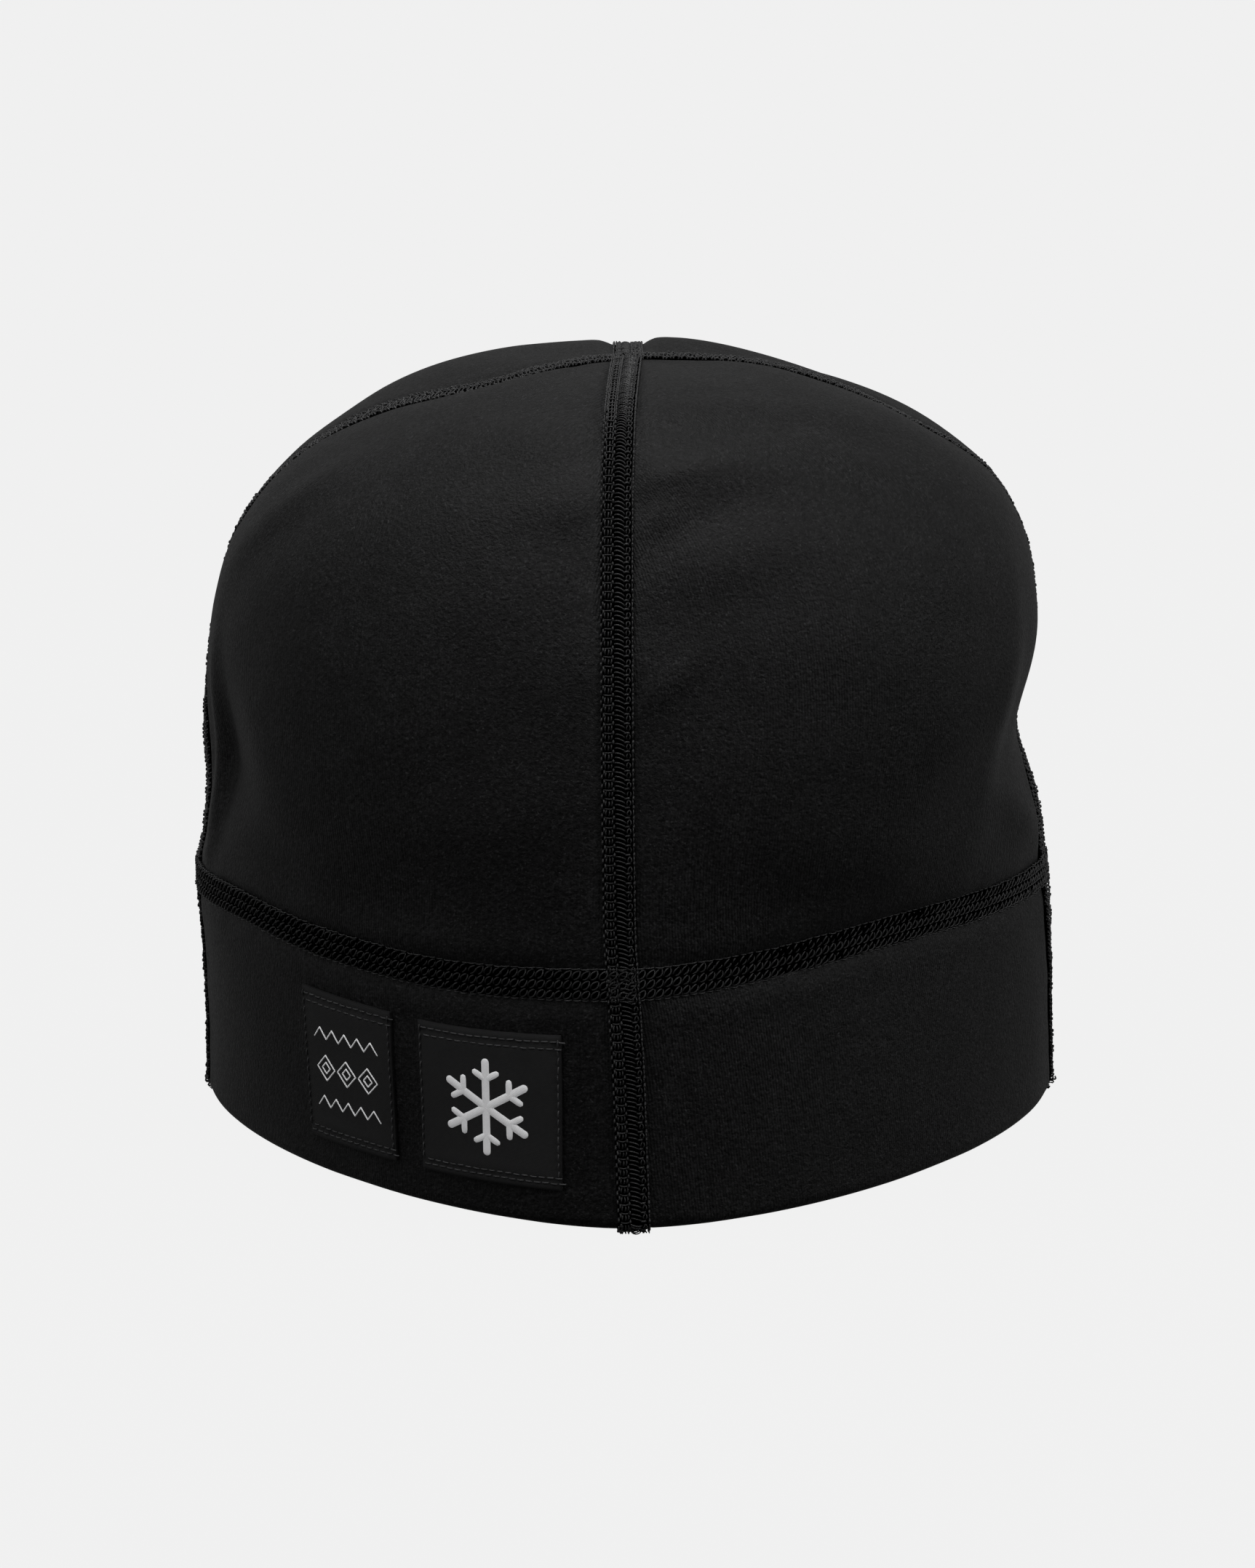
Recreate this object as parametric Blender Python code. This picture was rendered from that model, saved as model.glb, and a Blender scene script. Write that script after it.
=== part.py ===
"""Close-fitting neoprene beanie standing on its hem, built from its sewn pieces.

Four crown panels meet in flat cover seams, and a deep band of four folded strips is sewn
round them. Lengths are in metres and +Z is up. The forehead faces -Y. The origin lies on
the surface that the hat stands on, under the middle of its plan.
"""

import math
from collections import namedtuple

import bmesh
import bpy
import numpy as np

MM = 0.001

# Driving sizes of the hat
HALF_WIDTH = 90.0 * MM
HALF_DEPTH = 90.0 * MM
BAND_HEIGHT = 49.0 * MM
CROWN_RISE = 106.9 * MM
CROWN_WALL = 1.6 * MM
BAND_LEAF = 1.5 * MM
LEAF_SLOT = 0.4 * MM
CROWN_PUFF = 1.5 * MM
BAND_PUFF = 0.5 * MM

# Flat cover seams
SEAM_WIDTH = 6.0 * MM
SEAM_THICKNESS = 0.8 * MM

# Woven labels, measured along the band from the front seam line
LABEL_THICKNESS = 0.5 * MM
LABEL_FOOT = 8.4 * MM
LABEL_HEIGHT = 30.8 * MM
SQUARE_LABEL_START = 13.0 * MM
SQUARE_LABEL_WIDTH = 30.0 * MM
LABEL_SPACE = 6.6 * MM
TALL_LABEL_WIDTH = 24.2 * MM

# Clearances between neighbouring pieces
PANEL_GAP = 0.52 * MM
SEAT_GAP = 0.36 * MM
SEAM_BREAK = 0.6 * MM
LABEL_GAP = 0.45 * MM
APEX_RADIUS = 1.2 * MM
BESIDE = (PANEL_GAP / 2, SEAM_WIDTH / 2)

# Mesh density
PANEL_COLUMNS = 14
CROWN_ROWS = 17
OUTER_LEAF_ROWS = 4
FOLD_ROWS = 5
INNER_LEAF_ROWS = 3
SEAM_COLUMNS = 2
LABEL_COLUMNS = 4
LABEL_ROWS = 3
COLUMN_EASE = 0.5
BESIDE_LIMIT = 0.3

# Bottom face of the fold: the middle one of its FOLD_ROWS facets lies flat
FLAT_FACET_EDGE = math.pi / 2 - math.pi / FOLD_ROWS / 2
FOLD_REACH = BAND_LEAF + LEAF_SLOT / 2
SEAM_REACH = SEAT_GAP + SEAM_THICKNESS
FOLD_CENTRE_HEIGHT = (FOLD_REACH + SEAM_REACH) * math.sin(FLAT_FACET_EDGE)

RIGHT, BACK, LEFT, FRONT = 0.0, math.pi / 2, math.pi, 3 * math.pi / 2
FULL_TURN = 2 * math.pi
STEP = 1e-4

# Plan sections. Heights are shares of the band height or of the crown rise, left and right
# are shares of the half width, front and back of the half depth. The three bows are the
# plan's superellipse powers at the front left, the front right and the back, and the last
# three columns turn the seam lines, in degrees.
Section = namedtuple(
    "Section",
    "height left right front back left_bow right_bow back_bow front_seam right_seam left_seam",
)
BAND_SECTIONS = (
    Section(0.00, 0.990, 1.002, 1.004, 1.000, 1.60, 1.59, 1.60, 0.9, 0.0, 0.5),
    Section(0.33, 0.986, 0.994, 0.990, 0.994, 1.65, 1.55, 1.60, 0.5, -0.5, 1.0),
    Section(0.68, 0.990, 0.987, 0.980, 0.990, 1.69, 1.49, 1.61, 0.1, -1.2, 1.8),
)
CROWN_SECTIONS = (
    Section(0.000, 0.999, 0.974, 0.968, 0.985, 1.69, 1.44, 1.63, -0.5, -2.2, 2.8),
    Section(0.092, 0.980, 0.961, 0.962, 0.978, 1.72, 1.52, 1.69, -0.9, -3.2, 3.8),
    Section(0.184, 0.974, 0.952, 0.955, 0.968, 1.77, 1.62, 1.76, -1.0, -3.4, 4.2),
    Section(0.290, 0.982, 0.950, 0.943, 0.956, 1.83, 1.75, 1.84, -1.1, -2.4, 3.0),
    Section(0.420, 0.967, 0.952, 0.918, 0.932, 1.89, 1.86, 1.90, -1.2, -1.0, 1.0),
    Section(0.555, 0.934, 0.932, 0.885, 0.900, 1.93, 1.92, 1.94, -1.3, -1.0, -0.5),
    Section(0.685, 0.880, 0.892, 0.832, 0.848, 1.97, 1.97, 1.97, -1.4, -0.5, 0.0),
    Section(0.803, 0.762, 0.800, 0.765, 0.775, 2.00, 2.00, 2.00, -1.6, 0.0, 2.0),
    Section(0.898, 0.600, 0.630, 0.678, 0.672, 2.00, 2.00, 2.00, -1.8, 0.5, 9.0),
    Section(0.957, 0.436, 0.440, 0.560, 0.530, 2.00, 2.00, 2.00, -2.0, 2.0, 20.0),
    Section(0.988, 0.258, 0.260, 0.345, 0.320, 2.00, 2.00, 2.00, -2.0, 7.0, 25.0),
    Section(1.000, 0.000, 0.000, 0.000, 0.000, 2.00, 2.00, 2.00, -2.0, 15.0, 20.0),
)

# Waves of the band seam: direction in degrees, lift as a share of the band height, and
# reach in degrees
Wave = namedtuple("Wave", "turn lift turn_spread")
WAVES = (
    Wave(206.0, 0.033, 13.0),
    Wave(247.0, -0.020, 14.0),
    Wave(312.0, 0.041, 26.0),
)
WAVE_LEVELS = 1.4

# Soft dents and swellings. Turn is the direction in degrees, level the share of the way
# from the band seam to the top, depth is inwards as a share of the half width, and spread
# says how far the dent reaches, in degrees and in shares of the way up.
Dent = namedtuple("Dent", "turn level depth turn_spread level_spread")
DENTS = (
    Dent(199.0, 0.26, 0.058, 11.0, 0.095),
    Dent(357.0, 0.29, 0.058, 24.0, 0.100),
    Dent(4.0, 0.72, 0.016, 16.0, 0.070),
    Dent(228.0, 0.45, -0.016, 20.0, 0.180),
    Dent(318.0, 0.52, -0.014, 22.0, 0.200),
    Dent(160.0, 0.34, 0.020, 20.0, 0.120),
    Dent(240.0, 0.84, 0.010, 22.0, 0.080),
    Dent(204.0, 0.88, 0.015, 16.0, 0.080),
    Dent(150.0, 0.84, -0.004, 24.0, 0.100),
)

ROWS = BAND_SECTIONS + CROWN_SECTIONS
RING_LEVEL = len(BAND_SECTIONS)
TOP_LEVEL = len(ROWS) - 1


def column_curve(name):
    """One column of the section table with a row more at each end: carried straight on
    below the hem, and mirrored past the apex."""
    values = [getattr(row, name) for row in ROWS]
    if name == "height":
        values = [value * BAND_HEIGHT for value in values[:RING_LEVEL]]
        values += [BAND_HEIGHT + row.height * CROWN_RISE for row in CROWN_SECTIONS]
    mirrored = name == "height" or name.endswith("bow")
    past = values[-2] if mirrored else 2 * values[-1] - values[-2]
    return np.array([2 * values[0] - values[1], *values, past])


CURVES = {name: column_curve(name) for name in Section._fields}


def between_rows(name, level):
    """A smooth value between the table's rows, by a Catmull-Rom curve."""
    row = np.clip(np.floor(level).astype(int), 0, TOP_LEVEL - 1)
    share = level - row
    a, b, c, d = (CURVES[name][row + step] for step in range(4))
    bend = (2 * a - 5 * b + 4 * c - d) * share**2
    twist = (3 * b - a - 3 * c + d) * share**3
    return 0.5 * (2 * b + (c - a) * share + bend + twist)


def seam_turn(side, level):
    """Direction of a seam line at a level, in radians."""
    column = {FRONT: "front_seam", RIGHT: "right_seam", LEFT: "left_seam"}.get(side)
    if column is None:
        return side + 0.0 * level
    return side + np.radians(between_rows(column, level))


def degrees_from(turn, direction):
    """Degrees from a direction round to the turns, between -180 and 180."""
    return (np.degrees(turn) - direction + 180) % 360 - 180


def wave_lift(turn, level):
    """Lift of the surface by the waves of the band seam."""
    lift = 0.0
    for wave in WAVES:
        reach = (degrees_from(turn, wave.turn) / wave.turn_spread) ** 2
        lift = lift + wave.lift * BAND_HEIGHT * np.exp(-reach)
    share = np.clip(1 - np.abs(level - RING_LEVEL) / (2 * WAVE_LEVELS), 0.0, 1.0)
    return lift * share**2 * (3 - 2 * share)


def plain_point(turn, level):
    """Points of the hat's plain outer form, before puffs and dents."""
    across, along = np.cos(turn), np.sin(turn)
    bows = [between_rows(name + "_bow", level) for name in ("back", "right", "left")]
    power = np.where(along > 0, bows[0], np.where(across > 0, bows[1], bows[2]))
    radius = (np.abs(across) ** power + np.abs(along) ** power) ** (-1 / power)
    right, left = between_rows("right", level), between_rows("left", level)
    back, front = between_rows("back", level), between_rows("front", level)
    width = np.where(across > 0, right, left) * HALF_WIDTH
    depth = np.where(along > 0, back, front) * HALF_DEPTH
    height = between_rows("height", level) + wave_lift(turn, level)
    return np.stack((width * radius * across, depth * radius * along, height), axis=-1)


def unit(vector):
    """Vectors scaled to length one."""
    return vector / np.linalg.norm(vector, axis=-1, keepdims=True)


def outward(point_of, turn, level):
    """Unit normals, pointing out, of a surface given as point_of(turn, level)."""
    level = np.minimum(level, TOP_LEVEL - 0.02)
    round_way = point_of(turn + STEP, level) - point_of(turn - STEP, level)
    up_way = point_of(turn, level + STEP) - point_of(turn, level - STEP)
    return unit(np.cross(round_way, up_way))


def puff_share(turn, level):
    """0 on the flat bed of a seam, and rising to 1 in the middle of a panel."""
    edges = [seam_turn(side, level) for side in (RIGHT, BACK, LEFT, FRONT)]
    edges.append(edges[0] + FULL_TURN)
    turn = edges[0] + (turn - edges[0]) % FULL_TURN
    size = (HALF_WIDTH + HALF_DEPTH) / 2 * between_rows("left", level)
    bed = (SEAM_WIDTH / 2 + PANEL_GAP) / np.maximum(size, SEAM_WIDTH)
    share = 0.0
    for first, last in zip(edges, edges[1:]):
        place = np.clip((turn - first - bed) / (last - first - 2 * bed), 0.0, 1.0)
        share = share + 1 - np.abs(2 * place - 1) ** 6
    return share


def dent_depth(turn, level):
    """Depth of all dents together at a place of the crown."""
    share = (level - RING_LEVEL) / (TOP_LEVEL - RING_LEVEL)
    depth = 0.0
    for dent in DENTS:
        reach = (degrees_from(turn, dent.turn) / dent.turn_spread) ** 2
        reach = reach + ((share - dent.level) / dent.level_spread) ** 2
        depth = depth + dent.depth * HALF_WIDTH * np.exp(-reach)
    return depth


def outer_point(turn, level):
    """Points of the hat's finished outer surface."""
    puff = np.where(level < RING_LEVEL, BAND_PUFF, CROWN_PUFF)
    puff = puff * np.clip(2 * np.abs(level - RING_LEVEL), 0.0, 1.0)
    rise = puff * puff_share(turn, level) - dent_depth(turn, level)
    rise = rise * np.clip(between_rows("left", level) * 4 - 0.4, 0.0, 1.0)
    normal = outward(plain_point, turn, level)
    return plain_point(turn, level) + rise[..., None] * normal


def surface_point(turn, level, proud):
    """Points that stand proud of the outer surface, or inside it if proud is negative."""
    proud = np.asarray(proud)[..., None]
    return outer_point(turn, level) + proud * outward(outer_point, turn, level)


def level_at_height(turn, height):
    """Level at which the outer surface reaches a height on the band."""
    levels = np.linspace(0.0, RING_LEVEL, 400)
    heights = outer_point(np.full_like(levels, turn), levels)[:, 2]
    return float(np.interp(height, heights, levels))


def path_length(points):
    """Length along a row of points, from the first one to each of them."""
    steps = np.linalg.norm(np.diff(points, axis=0), axis=1)
    return np.concatenate(([0.0], np.cumsum(steps)))


def level_after(side, level, distance):
    """Level reached by going a distance along a seam line, upwards if it is positive."""
    levels = level + np.linspace(0.0, math.copysign(1.0, distance), 400)
    levels = levels[levels <= TOP_LEVEL]
    gone = path_length(outer_point(seam_turn(side, levels), levels))
    return float(np.interp(abs(distance), gone, levels))


def turn_after(turn, level, distance):
    """Direction reached by going a distance round the hat at one level."""
    turns = turn + np.linspace(0.0, math.copysign(1.0, distance), 800)
    gone = path_length(outer_point(turns, np.full_like(turns, level)))
    return float(np.interp(abs(distance), gone, turns))


def top_row_level():
    """Level of the small ring round the apex where the four panel tips end."""
    size = (HALF_WIDTH + HALF_DEPTH) / 2 * CROWN_SECTIONS[-2].left
    return TOP_LEVEL - APEX_RADIUS / size


# Levels of the seam edges, the same on every side
RING_HALF = SEAM_WIDTH / 2 + SEAM_BREAK
ABOVE_RING = level_after(FRONT, RING_LEVEL, RING_HALF)
BELOW_RING = level_after(FRONT, RING_LEVEL, -RING_HALF)
CROWN_EDGE = level_after(FRONT, RING_LEVEL, PANEL_GAP / 2)
BAND_EDGE = level_after(FRONT, RING_LEVEL, -PANEL_GAP / 2)
FOLD_LEVEL = level_at_height(FRONT, FOLD_CENTRE_HEIGHT)


def seam_side_turn(side, level, distance):
    """Direction a short distance beside a seam line, measured round the hat."""
    turn = seam_turn(side, level)
    size = np.linalg.norm(plain_point(turn, level)[..., :2], axis=-1)
    beside = distance / np.maximum(size, APEX_RADIUS / 2)
    return turn + np.clip(beside, -BESIDE_LIMIT, BESIDE_LIMIT)


def panel_turns(start, end, levels):
    """Directions of a panel's columns at every level. The first and the last column keep
    half the panel gap to the seam lines, and the ones beside them lie under the edges of
    the seams. The others crowd a little towards the seams."""
    levels = np.asarray(levels)
    first = [seam_side_turn(start, levels, reach) for reach in BESIDE]
    last = [seam_side_turn(end, levels, -reach) for reach in BESIDE[::-1]]
    if end < start:
        last = [turn + FULL_TURN for turn in last]
    share = np.linspace(0.0, 1.0, PANEL_COLUMNS - 1)[1:-1]
    share = share - COLUMN_EASE * np.sin(FULL_TURN * share) / FULL_TURN
    inner = [first[-1] + (last[0] - first[-1]) * part for part in share]
    return np.stack(first + inner + last, axis=1)


def spread(first, last, steps):
    """Evenly spread values from first to last."""
    return [first + (last - first) * step / steps for step in range(steps + 1)]


def crown_levels():
    """Levels of the crown's rows, from the edge of the band seam to the apex."""
    return spread(ABOVE_RING, top_row_level(), CROWN_ROWS)


def fold_rows(top_levels):
    """Levels and angles of the rows of the folded band. The angle is 0 on the outer leaf,
    turns by half a circle round the hem and stays there on the inner leaf."""
    lead = list(top_levels)
    outer = lead[:-1] + spread(lead[-1], FOLD_LEVEL, OUTER_LEAF_ROWS)
    fold = [FOLD_LEVEL] * (FOLD_ROWS - 1)
    inner = spread(FOLD_LEVEL, lead[-1], INNER_LEAF_ROWS) + lead[-2::-1]
    angles = [0.0] * len(outer) + spread(0.0, math.pi, FOLD_ROWS)[1:-1]
    angles += [math.pi] * len(inner)
    return np.array(outer + fold + inner), np.array(angles)


def fold_point(turn, level, angle, reach):
    """Points of the folded band, at a distance from the middle between its two leaves."""
    normal = outward(outer_point, turn, level)
    normal[..., 2] = 0.0
    normal = unit(normal)
    middle = outer_point(turn, level) - FOLD_REACH * normal
    middle[..., 2] = np.where(level <= FOLD_LEVEL, FOLD_CENTRE_HEIGHT, middle[..., 2])
    down = np.array((0.0, 0.0, -1.0))
    around = np.cos(angle)[..., None] * normal + np.sin(angle)[..., None] * down
    return middle + np.asarray(reach)[..., None] * around


def material(name, colour, roughness):
    """A plain cloth-like material."""
    made = bpy.data.materials.new(name)
    made.use_nodes = True
    shader = made.node_tree.nodes["Principled BSDF"]
    shader.inputs["Base Color"].default_value = (*colour, 1.0)
    shader.inputs["Roughness"].default_value = roughness
    shader.inputs["Metallic"].default_value = 0.0
    made.diffuse_color = (*colour, 1.0)
    return made


def grid_wall(name, columns, rows, place, finish, collection, closed=False):
    """A wall made from a grid of cells. place(column, row, side) gives its points, with
    side 0 for the face that shows outside and side 1 for the other face."""
    work = bmesh.new()
    layers = [work.verts.layers.int.new(key) for key in ("column", "row", "side")]
    column, row, side = layers
    bmesh.ops.create_grid(work, x_segments=columns, y_segments=rows, size=0.5)
    for vert in work.verts:
        vert[column] = round((vert.co.x + 0.5) * columns)
        vert[row] = round((vert.co.y + 0.5) * rows)
        if closed:
            turn = FULL_TURN * vert[column] / columns
            vert.co = (math.cos(turn), math.sin(turn), vert[row])
    if closed:
        bmesh.ops.remove_doubles(work, verts=work.verts[:], dist=1e-5)
    raised = bmesh.ops.extrude_face_region(work, geom=work.faces[:])
    for part in raised["geom"]:
        if isinstance(part, bmesh.types.BMVert):
            part[side] = 1
    cells = np.array([[vert[layer] for layer in layers] for vert in work.verts])
    for vert, point in zip(work.verts, place(*cells.T)):
        vert.co = point
    bmesh.ops.recalc_face_normals(work, faces=work.faces[:])
    if work.calc_volume(signed=True) < 0:
        bmesh.ops.reverse_faces(work, faces=work.faces[:])
    mesh = bpy.data.meshes.new(name)
    work.to_mesh(mesh)
    work.free()
    mesh.materials.append(finish)
    mesh.shade_smooth()
    mesh.set_sharp_from_angle(angle=math.radians(40))
    made = bpy.data.objects.new(name, mesh)
    collection.objects.link(made)
    return made


def crown_panel(name, start, end, finish, collection):
    """One quarter of the crown, between the seam lines start and end."""
    levels = np.array([CROWN_EDGE] + crown_levels())
    turns = panel_turns(start, end, levels)

    def place(column, row, side):
        return surface_point(turns[row, column], levels[row], -CROWN_WALL * side)

    return grid_wall(name, PANEL_COLUMNS, len(levels) - 1, place, finish, collection)


def band_panel(name, start, end, finish, collection):
    """One quarter of the band: a strip folded at the hem, with two leaves."""
    levels, angles = fold_rows((BAND_EDGE, BELOW_RING))
    turns = panel_turns(start, end, levels)

    def place(column, row, side):
        reach = FOLD_REACH - BAND_LEAF * side
        return fold_point(turns[row, column], levels[row], angles[row], reach)

    return grid_wall(name, PANEL_COLUMNS, len(levels) - 1, place, finish, collection)


def seam_strip(name, points, normals, finish, collection):
    """A flat cover seam along a row of points on the outer surface."""
    sideways = np.cross(np.gradient(points, axis=0), normals)
    sideways[[0, -1], 2] = 0.0
    sideways = unit(sideways) * SEAM_WIDTH / 2

    def place(column, row, side):
        across = (2 * column / SEAM_COLUMNS - 1)[:, None]
        proud = (SEAM_REACH - SEAM_THICKNESS * side)[:, None]
        return points[row] + proud * normals[row] + across * sideways[row]

    return grid_wall(name, SEAM_COLUMNS, len(points) - 1, place, finish, collection)


def seam_line(side, levels):
    """Points and normals of a seam line at several levels."""
    levels = np.array(levels)
    turns = seam_turn(side, levels)
    return outer_point(turns, levels), outward(outer_point, turns, levels)


def crown_seam(name, side, finish, collection):
    """The front or back crown seam, from the band seam to the edge of the cross seam."""
    near = np.array(crown_levels()[-2])
    beside = plain_point(seam_turn(LEFT, near), near)
    tilt = math.atan2(-beside[1], -beside[0])
    reach = SEAM_WIDTH / 2 * (1 / math.cos(tilt) + math.tan(tilt)) + SEAM_BREAK
    last = level_after(side, TOP_LEVEL, -reach)
    levels = [level for level in crown_levels() if level < last - 0.1] + [last]
    return seam_strip(name, *seam_line(side, levels), finish, collection)


def cross_seam(name, finish, collection):
    """The seam from the left side over the top of the head to the right side."""
    left, left_normals = seam_line(LEFT, crown_levels())
    right, right_normals = seam_line(RIGHT, crown_levels()[::-1])
    apex = plain_point(np.array([FRONT]), np.array([float(TOP_LEVEL)]))
    points = np.concatenate((left, apex, right))
    normals = np.concatenate((left_normals, [[0.0, 0.0, 1.0]], right_normals))
    return seam_strip(name, points, normals, finish, collection)


def ring_seam(name, finish, collection):
    """The closed seam round the hat between band and crown."""
    low = level_after(FRONT, RING_LEVEL, -SEAM_WIDTH / 2)
    high = level_after(FRONT, RING_LEVEL, SEAM_WIDTH / 2)
    levels = np.array([low, RING_LEVEL, high])
    sides = (RIGHT, BACK, LEFT, FRONT, RIGHT)
    turns = []
    for start, end in zip(sides, sides[1:]):
        turns.append(seam_turn(start, levels)[:, None])
        turns.append(panel_turns(start, end, levels)[:, 1:-1])
    turns = np.concatenate(turns, axis=1)
    columns = turns.shape[1]

    def place(column, row, side):
        proud = SEAM_REACH - SEAM_THICKNESS * side
        return surface_point(turns[row, column % columns], levels[row], proud)

    return grid_wall(name, columns, SEAM_COLUMNS, place, finish, collection, closed=True)


def band_seam(name, side, finish, collection):
    """A band seam, down the outside, round the hem and up the inside."""
    levels, angles = fold_rows((BELOW_RING,))
    reaches = spread(-SEAM_WIDTH / 2, SEAM_WIDTH / 2, SEAM_COLUMNS)
    turns = np.stack([seam_side_turn(side, levels, reach) for reach in reaches], axis=1)

    def place(column, row, face):
        reach = FOLD_REACH + SEAM_REACH - SEAM_THICKNESS * face
        return fold_point(turns[row, column], levels[row], angles[row], reach)

    return grid_wall(name, SEAM_COLUMNS, len(levels) - 1, place, finish, collection)


def label(name, start, width, finish, collection):
    """A woven label on the band, starting a distance to the left of the front seam."""
    low = level_at_height(FRONT, LABEL_FOOT)
    high = level_at_height(FRONT, LABEL_FOOT + LABEL_HEIGHT)
    middle = (low + high) / 2
    near = turn_after(seam_turn(FRONT, np.array(middle)), middle, -start)
    far = turn_after(near, middle, -width)
    turns = np.array(spread(far, near, LABEL_COLUMNS))
    levels = np.array(spread(low, high, LABEL_ROWS))

    def place(column, row, side):
        proud = LABEL_GAP + LABEL_THICKNESS * (1 - side)
        return surface_point(turns[column], levels[row], proud)

    return grid_wall(name, LABEL_COLUMNS, LABEL_ROWS, place, finish, collection)


def clear_scene():
    for old in list(bpy.data.objects):
        bpy.data.objects.remove(old, do_unlink=True)


def build():
    clear_scene()
    hat = bpy.data.collections.new("neoprene_beanie")
    bpy.context.scene.collection.children.link(hat)
    neoprene = material("black_neoprene", (0.008, 0.008, 0.009), 0.62)
    thread = material("black_thread", (0.004, 0.004, 0.004), 0.70)
    woven = material("woven_label", (0.013, 0.013, 0.013), 0.55)

    quarters = (
        ("front_left", LEFT, FRONT),
        ("front_right", FRONT, RIGHT),
        ("back_right", RIGHT, BACK),
        ("back_left", BACK, LEFT),
    )
    for place, start, end in quarters:
        crown_panel("crown_" + place, start, end, neoprene, hat)
        band_panel("band_" + place, start, end, neoprene, hat)
    crown_seam("seam_front", FRONT, thread, hat)
    crown_seam("seam_back", BACK, thread, hat)
    cross_seam("seam_cross", thread, hat)
    ring_seam("seam_ring", thread, hat)
    sides = (("front", FRONT), ("back", BACK), ("left", LEFT), ("right", RIGHT))
    for place, side in sides:
        band_seam("seam_band_" + place, side, thread, hat)
    label("label_square", SQUARE_LABEL_START, SQUARE_LABEL_WIDTH, woven, hat)
    tall_start = SQUARE_LABEL_START + SQUARE_LABEL_WIDTH + LABEL_SPACE
    label("label_tall", tall_start, TALL_LABEL_WIDTH, woven, hat)


build()
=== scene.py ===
"""Dressed neoprene beanie, standing on its hem in a pale studio.

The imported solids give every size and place. Each soft piece is made again here as finer
cloth: ribbed crown panels and a folded band, beds of stitched cover seams, and two woven
labels. Lengths are in metres, +Z is up and the forehead faces -Y.
"""

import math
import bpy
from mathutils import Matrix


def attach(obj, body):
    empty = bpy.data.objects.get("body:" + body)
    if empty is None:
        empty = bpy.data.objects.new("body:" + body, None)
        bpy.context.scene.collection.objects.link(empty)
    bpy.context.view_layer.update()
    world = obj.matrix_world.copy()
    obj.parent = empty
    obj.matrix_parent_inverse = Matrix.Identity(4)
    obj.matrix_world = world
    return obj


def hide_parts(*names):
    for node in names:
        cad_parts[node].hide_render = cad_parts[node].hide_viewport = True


bl_info = {
    "name": "Neoprene Beanie",
    "version": (1, 0, 0),
    "blender": (4, 5, 0),
    "location": "3D View > Sidebar > Beanie",
    "description": "Dresses the beanie with ribbed cloth, cover seams and woven labels",
    "category": "Object",
}

from collections import namedtuple

import bpy
import numpy as np
from bpy.props import FloatProperty, FloatVectorProperty, IntProperty, PointerProperty
from mathutils import Vector

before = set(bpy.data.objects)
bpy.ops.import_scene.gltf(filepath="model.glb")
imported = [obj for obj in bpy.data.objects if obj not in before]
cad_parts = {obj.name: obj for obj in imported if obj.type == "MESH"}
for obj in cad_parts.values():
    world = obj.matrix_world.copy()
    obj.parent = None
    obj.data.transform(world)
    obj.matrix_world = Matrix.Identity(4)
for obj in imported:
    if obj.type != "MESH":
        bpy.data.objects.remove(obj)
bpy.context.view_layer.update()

MM = 0.001

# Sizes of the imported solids
HALF_WIDTH = 90.0 * MM
HALF_DEPTH = 90.0 * MM
BAND_HEIGHT = 49.0 * MM
CROWN_RISE = 106.9 * MM
CROWN_WALL = 1.6 * MM
BAND_LEAF = 1.5 * MM
LEAF_SLOT = 0.4 * MM
CROWN_PUFF = 1.5 * MM
BAND_PUFF = 0.5 * MM
SEAM_WIDTH = 6.0 * MM
SEAM_THICKNESS = 0.8 * MM
LABEL_THICKNESS = 0.5 * MM
LABEL_FOOT = 8.4 * MM
LABEL_HEIGHT = 30.8 * MM
SQUARE_LABEL_START = 13.0 * MM
SQUARE_LABEL_WIDTH = 30.0 * MM
LABEL_SPACE = 6.6 * MM
TALL_LABEL_WIDTH = 24.2 * MM
PANEL_GAP = 0.52 * MM
SEAT_GAP = 0.36 * MM
APEX_RADIUS = 1.2 * MM
BESIDE_LIMIT = 0.3
FOLD_FACETS = 5

FLAT_FACET_EDGE = math.pi / 2 - math.pi / FOLD_FACETS / 2
FOLD_REACH = BAND_LEAF + LEAF_SLOT / 2
SEAM_REACH = SEAT_GAP + SEAM_THICKNESS
FOLD_CENTRE_HEIGHT = (FOLD_REACH + SEAM_REACH) * math.sin(FLAT_FACET_EDGE)

# Cloth grids
PANEL_COLUMNS = 104
CROWN_ROWS = 112
OUTER_LEAF_ROWS = 44
FOLD_ROWS = 10
INNER_LEAF_ROWS = 22
COLUMN_EASE = 0.35
BED_COLUMNS = 8
BED_STEP = 0.9 * MM
BED_SKIRT = 0.15 * MM
PATH_STEP = 0.6 * MM
RING_COLUMNS = 640
LABEL_STEPS = 72
SHARP_EDGE = math.radians(50)

# The top of a bed or of a puffed panel is as flat as this power makes it
FLAT_TOP_POWER = 6

# Relief beside a seam
SWELL_PLACE = 3.2 * MM
SWELL_REACH = 3.0 * MM
PUCKER_PLACE = 0.8 * MM
PUCKER_REACH = 2.6 * MM
# Reach of the lighter cloth beside a seam, partly wear and partly painted sheen
WEAR_AND_SHEEN_REACH = 2.5 * MM
CALM_CROWN = 6.0 * MM
CALM_BAND = 9.0 * MM

# Puckers are three waves along the seam: length in millimetres, phase and share
PUCKERS = ((1.15, 0.0, 0.5), (1.9, 1.3, 1.0), (3.1, 0.4, 1.0))

# A soft fold has a shallower hollow on its lower side, a little steeper than the fold, and
# fades out this many millimetres off the surface
FOLD_HOLLOW = 0.45
HOLLOW_PLACE = 1.5
HOLLOW_STEEPNESS = 0.9
FOLD_DEPTH = 30.0
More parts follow.
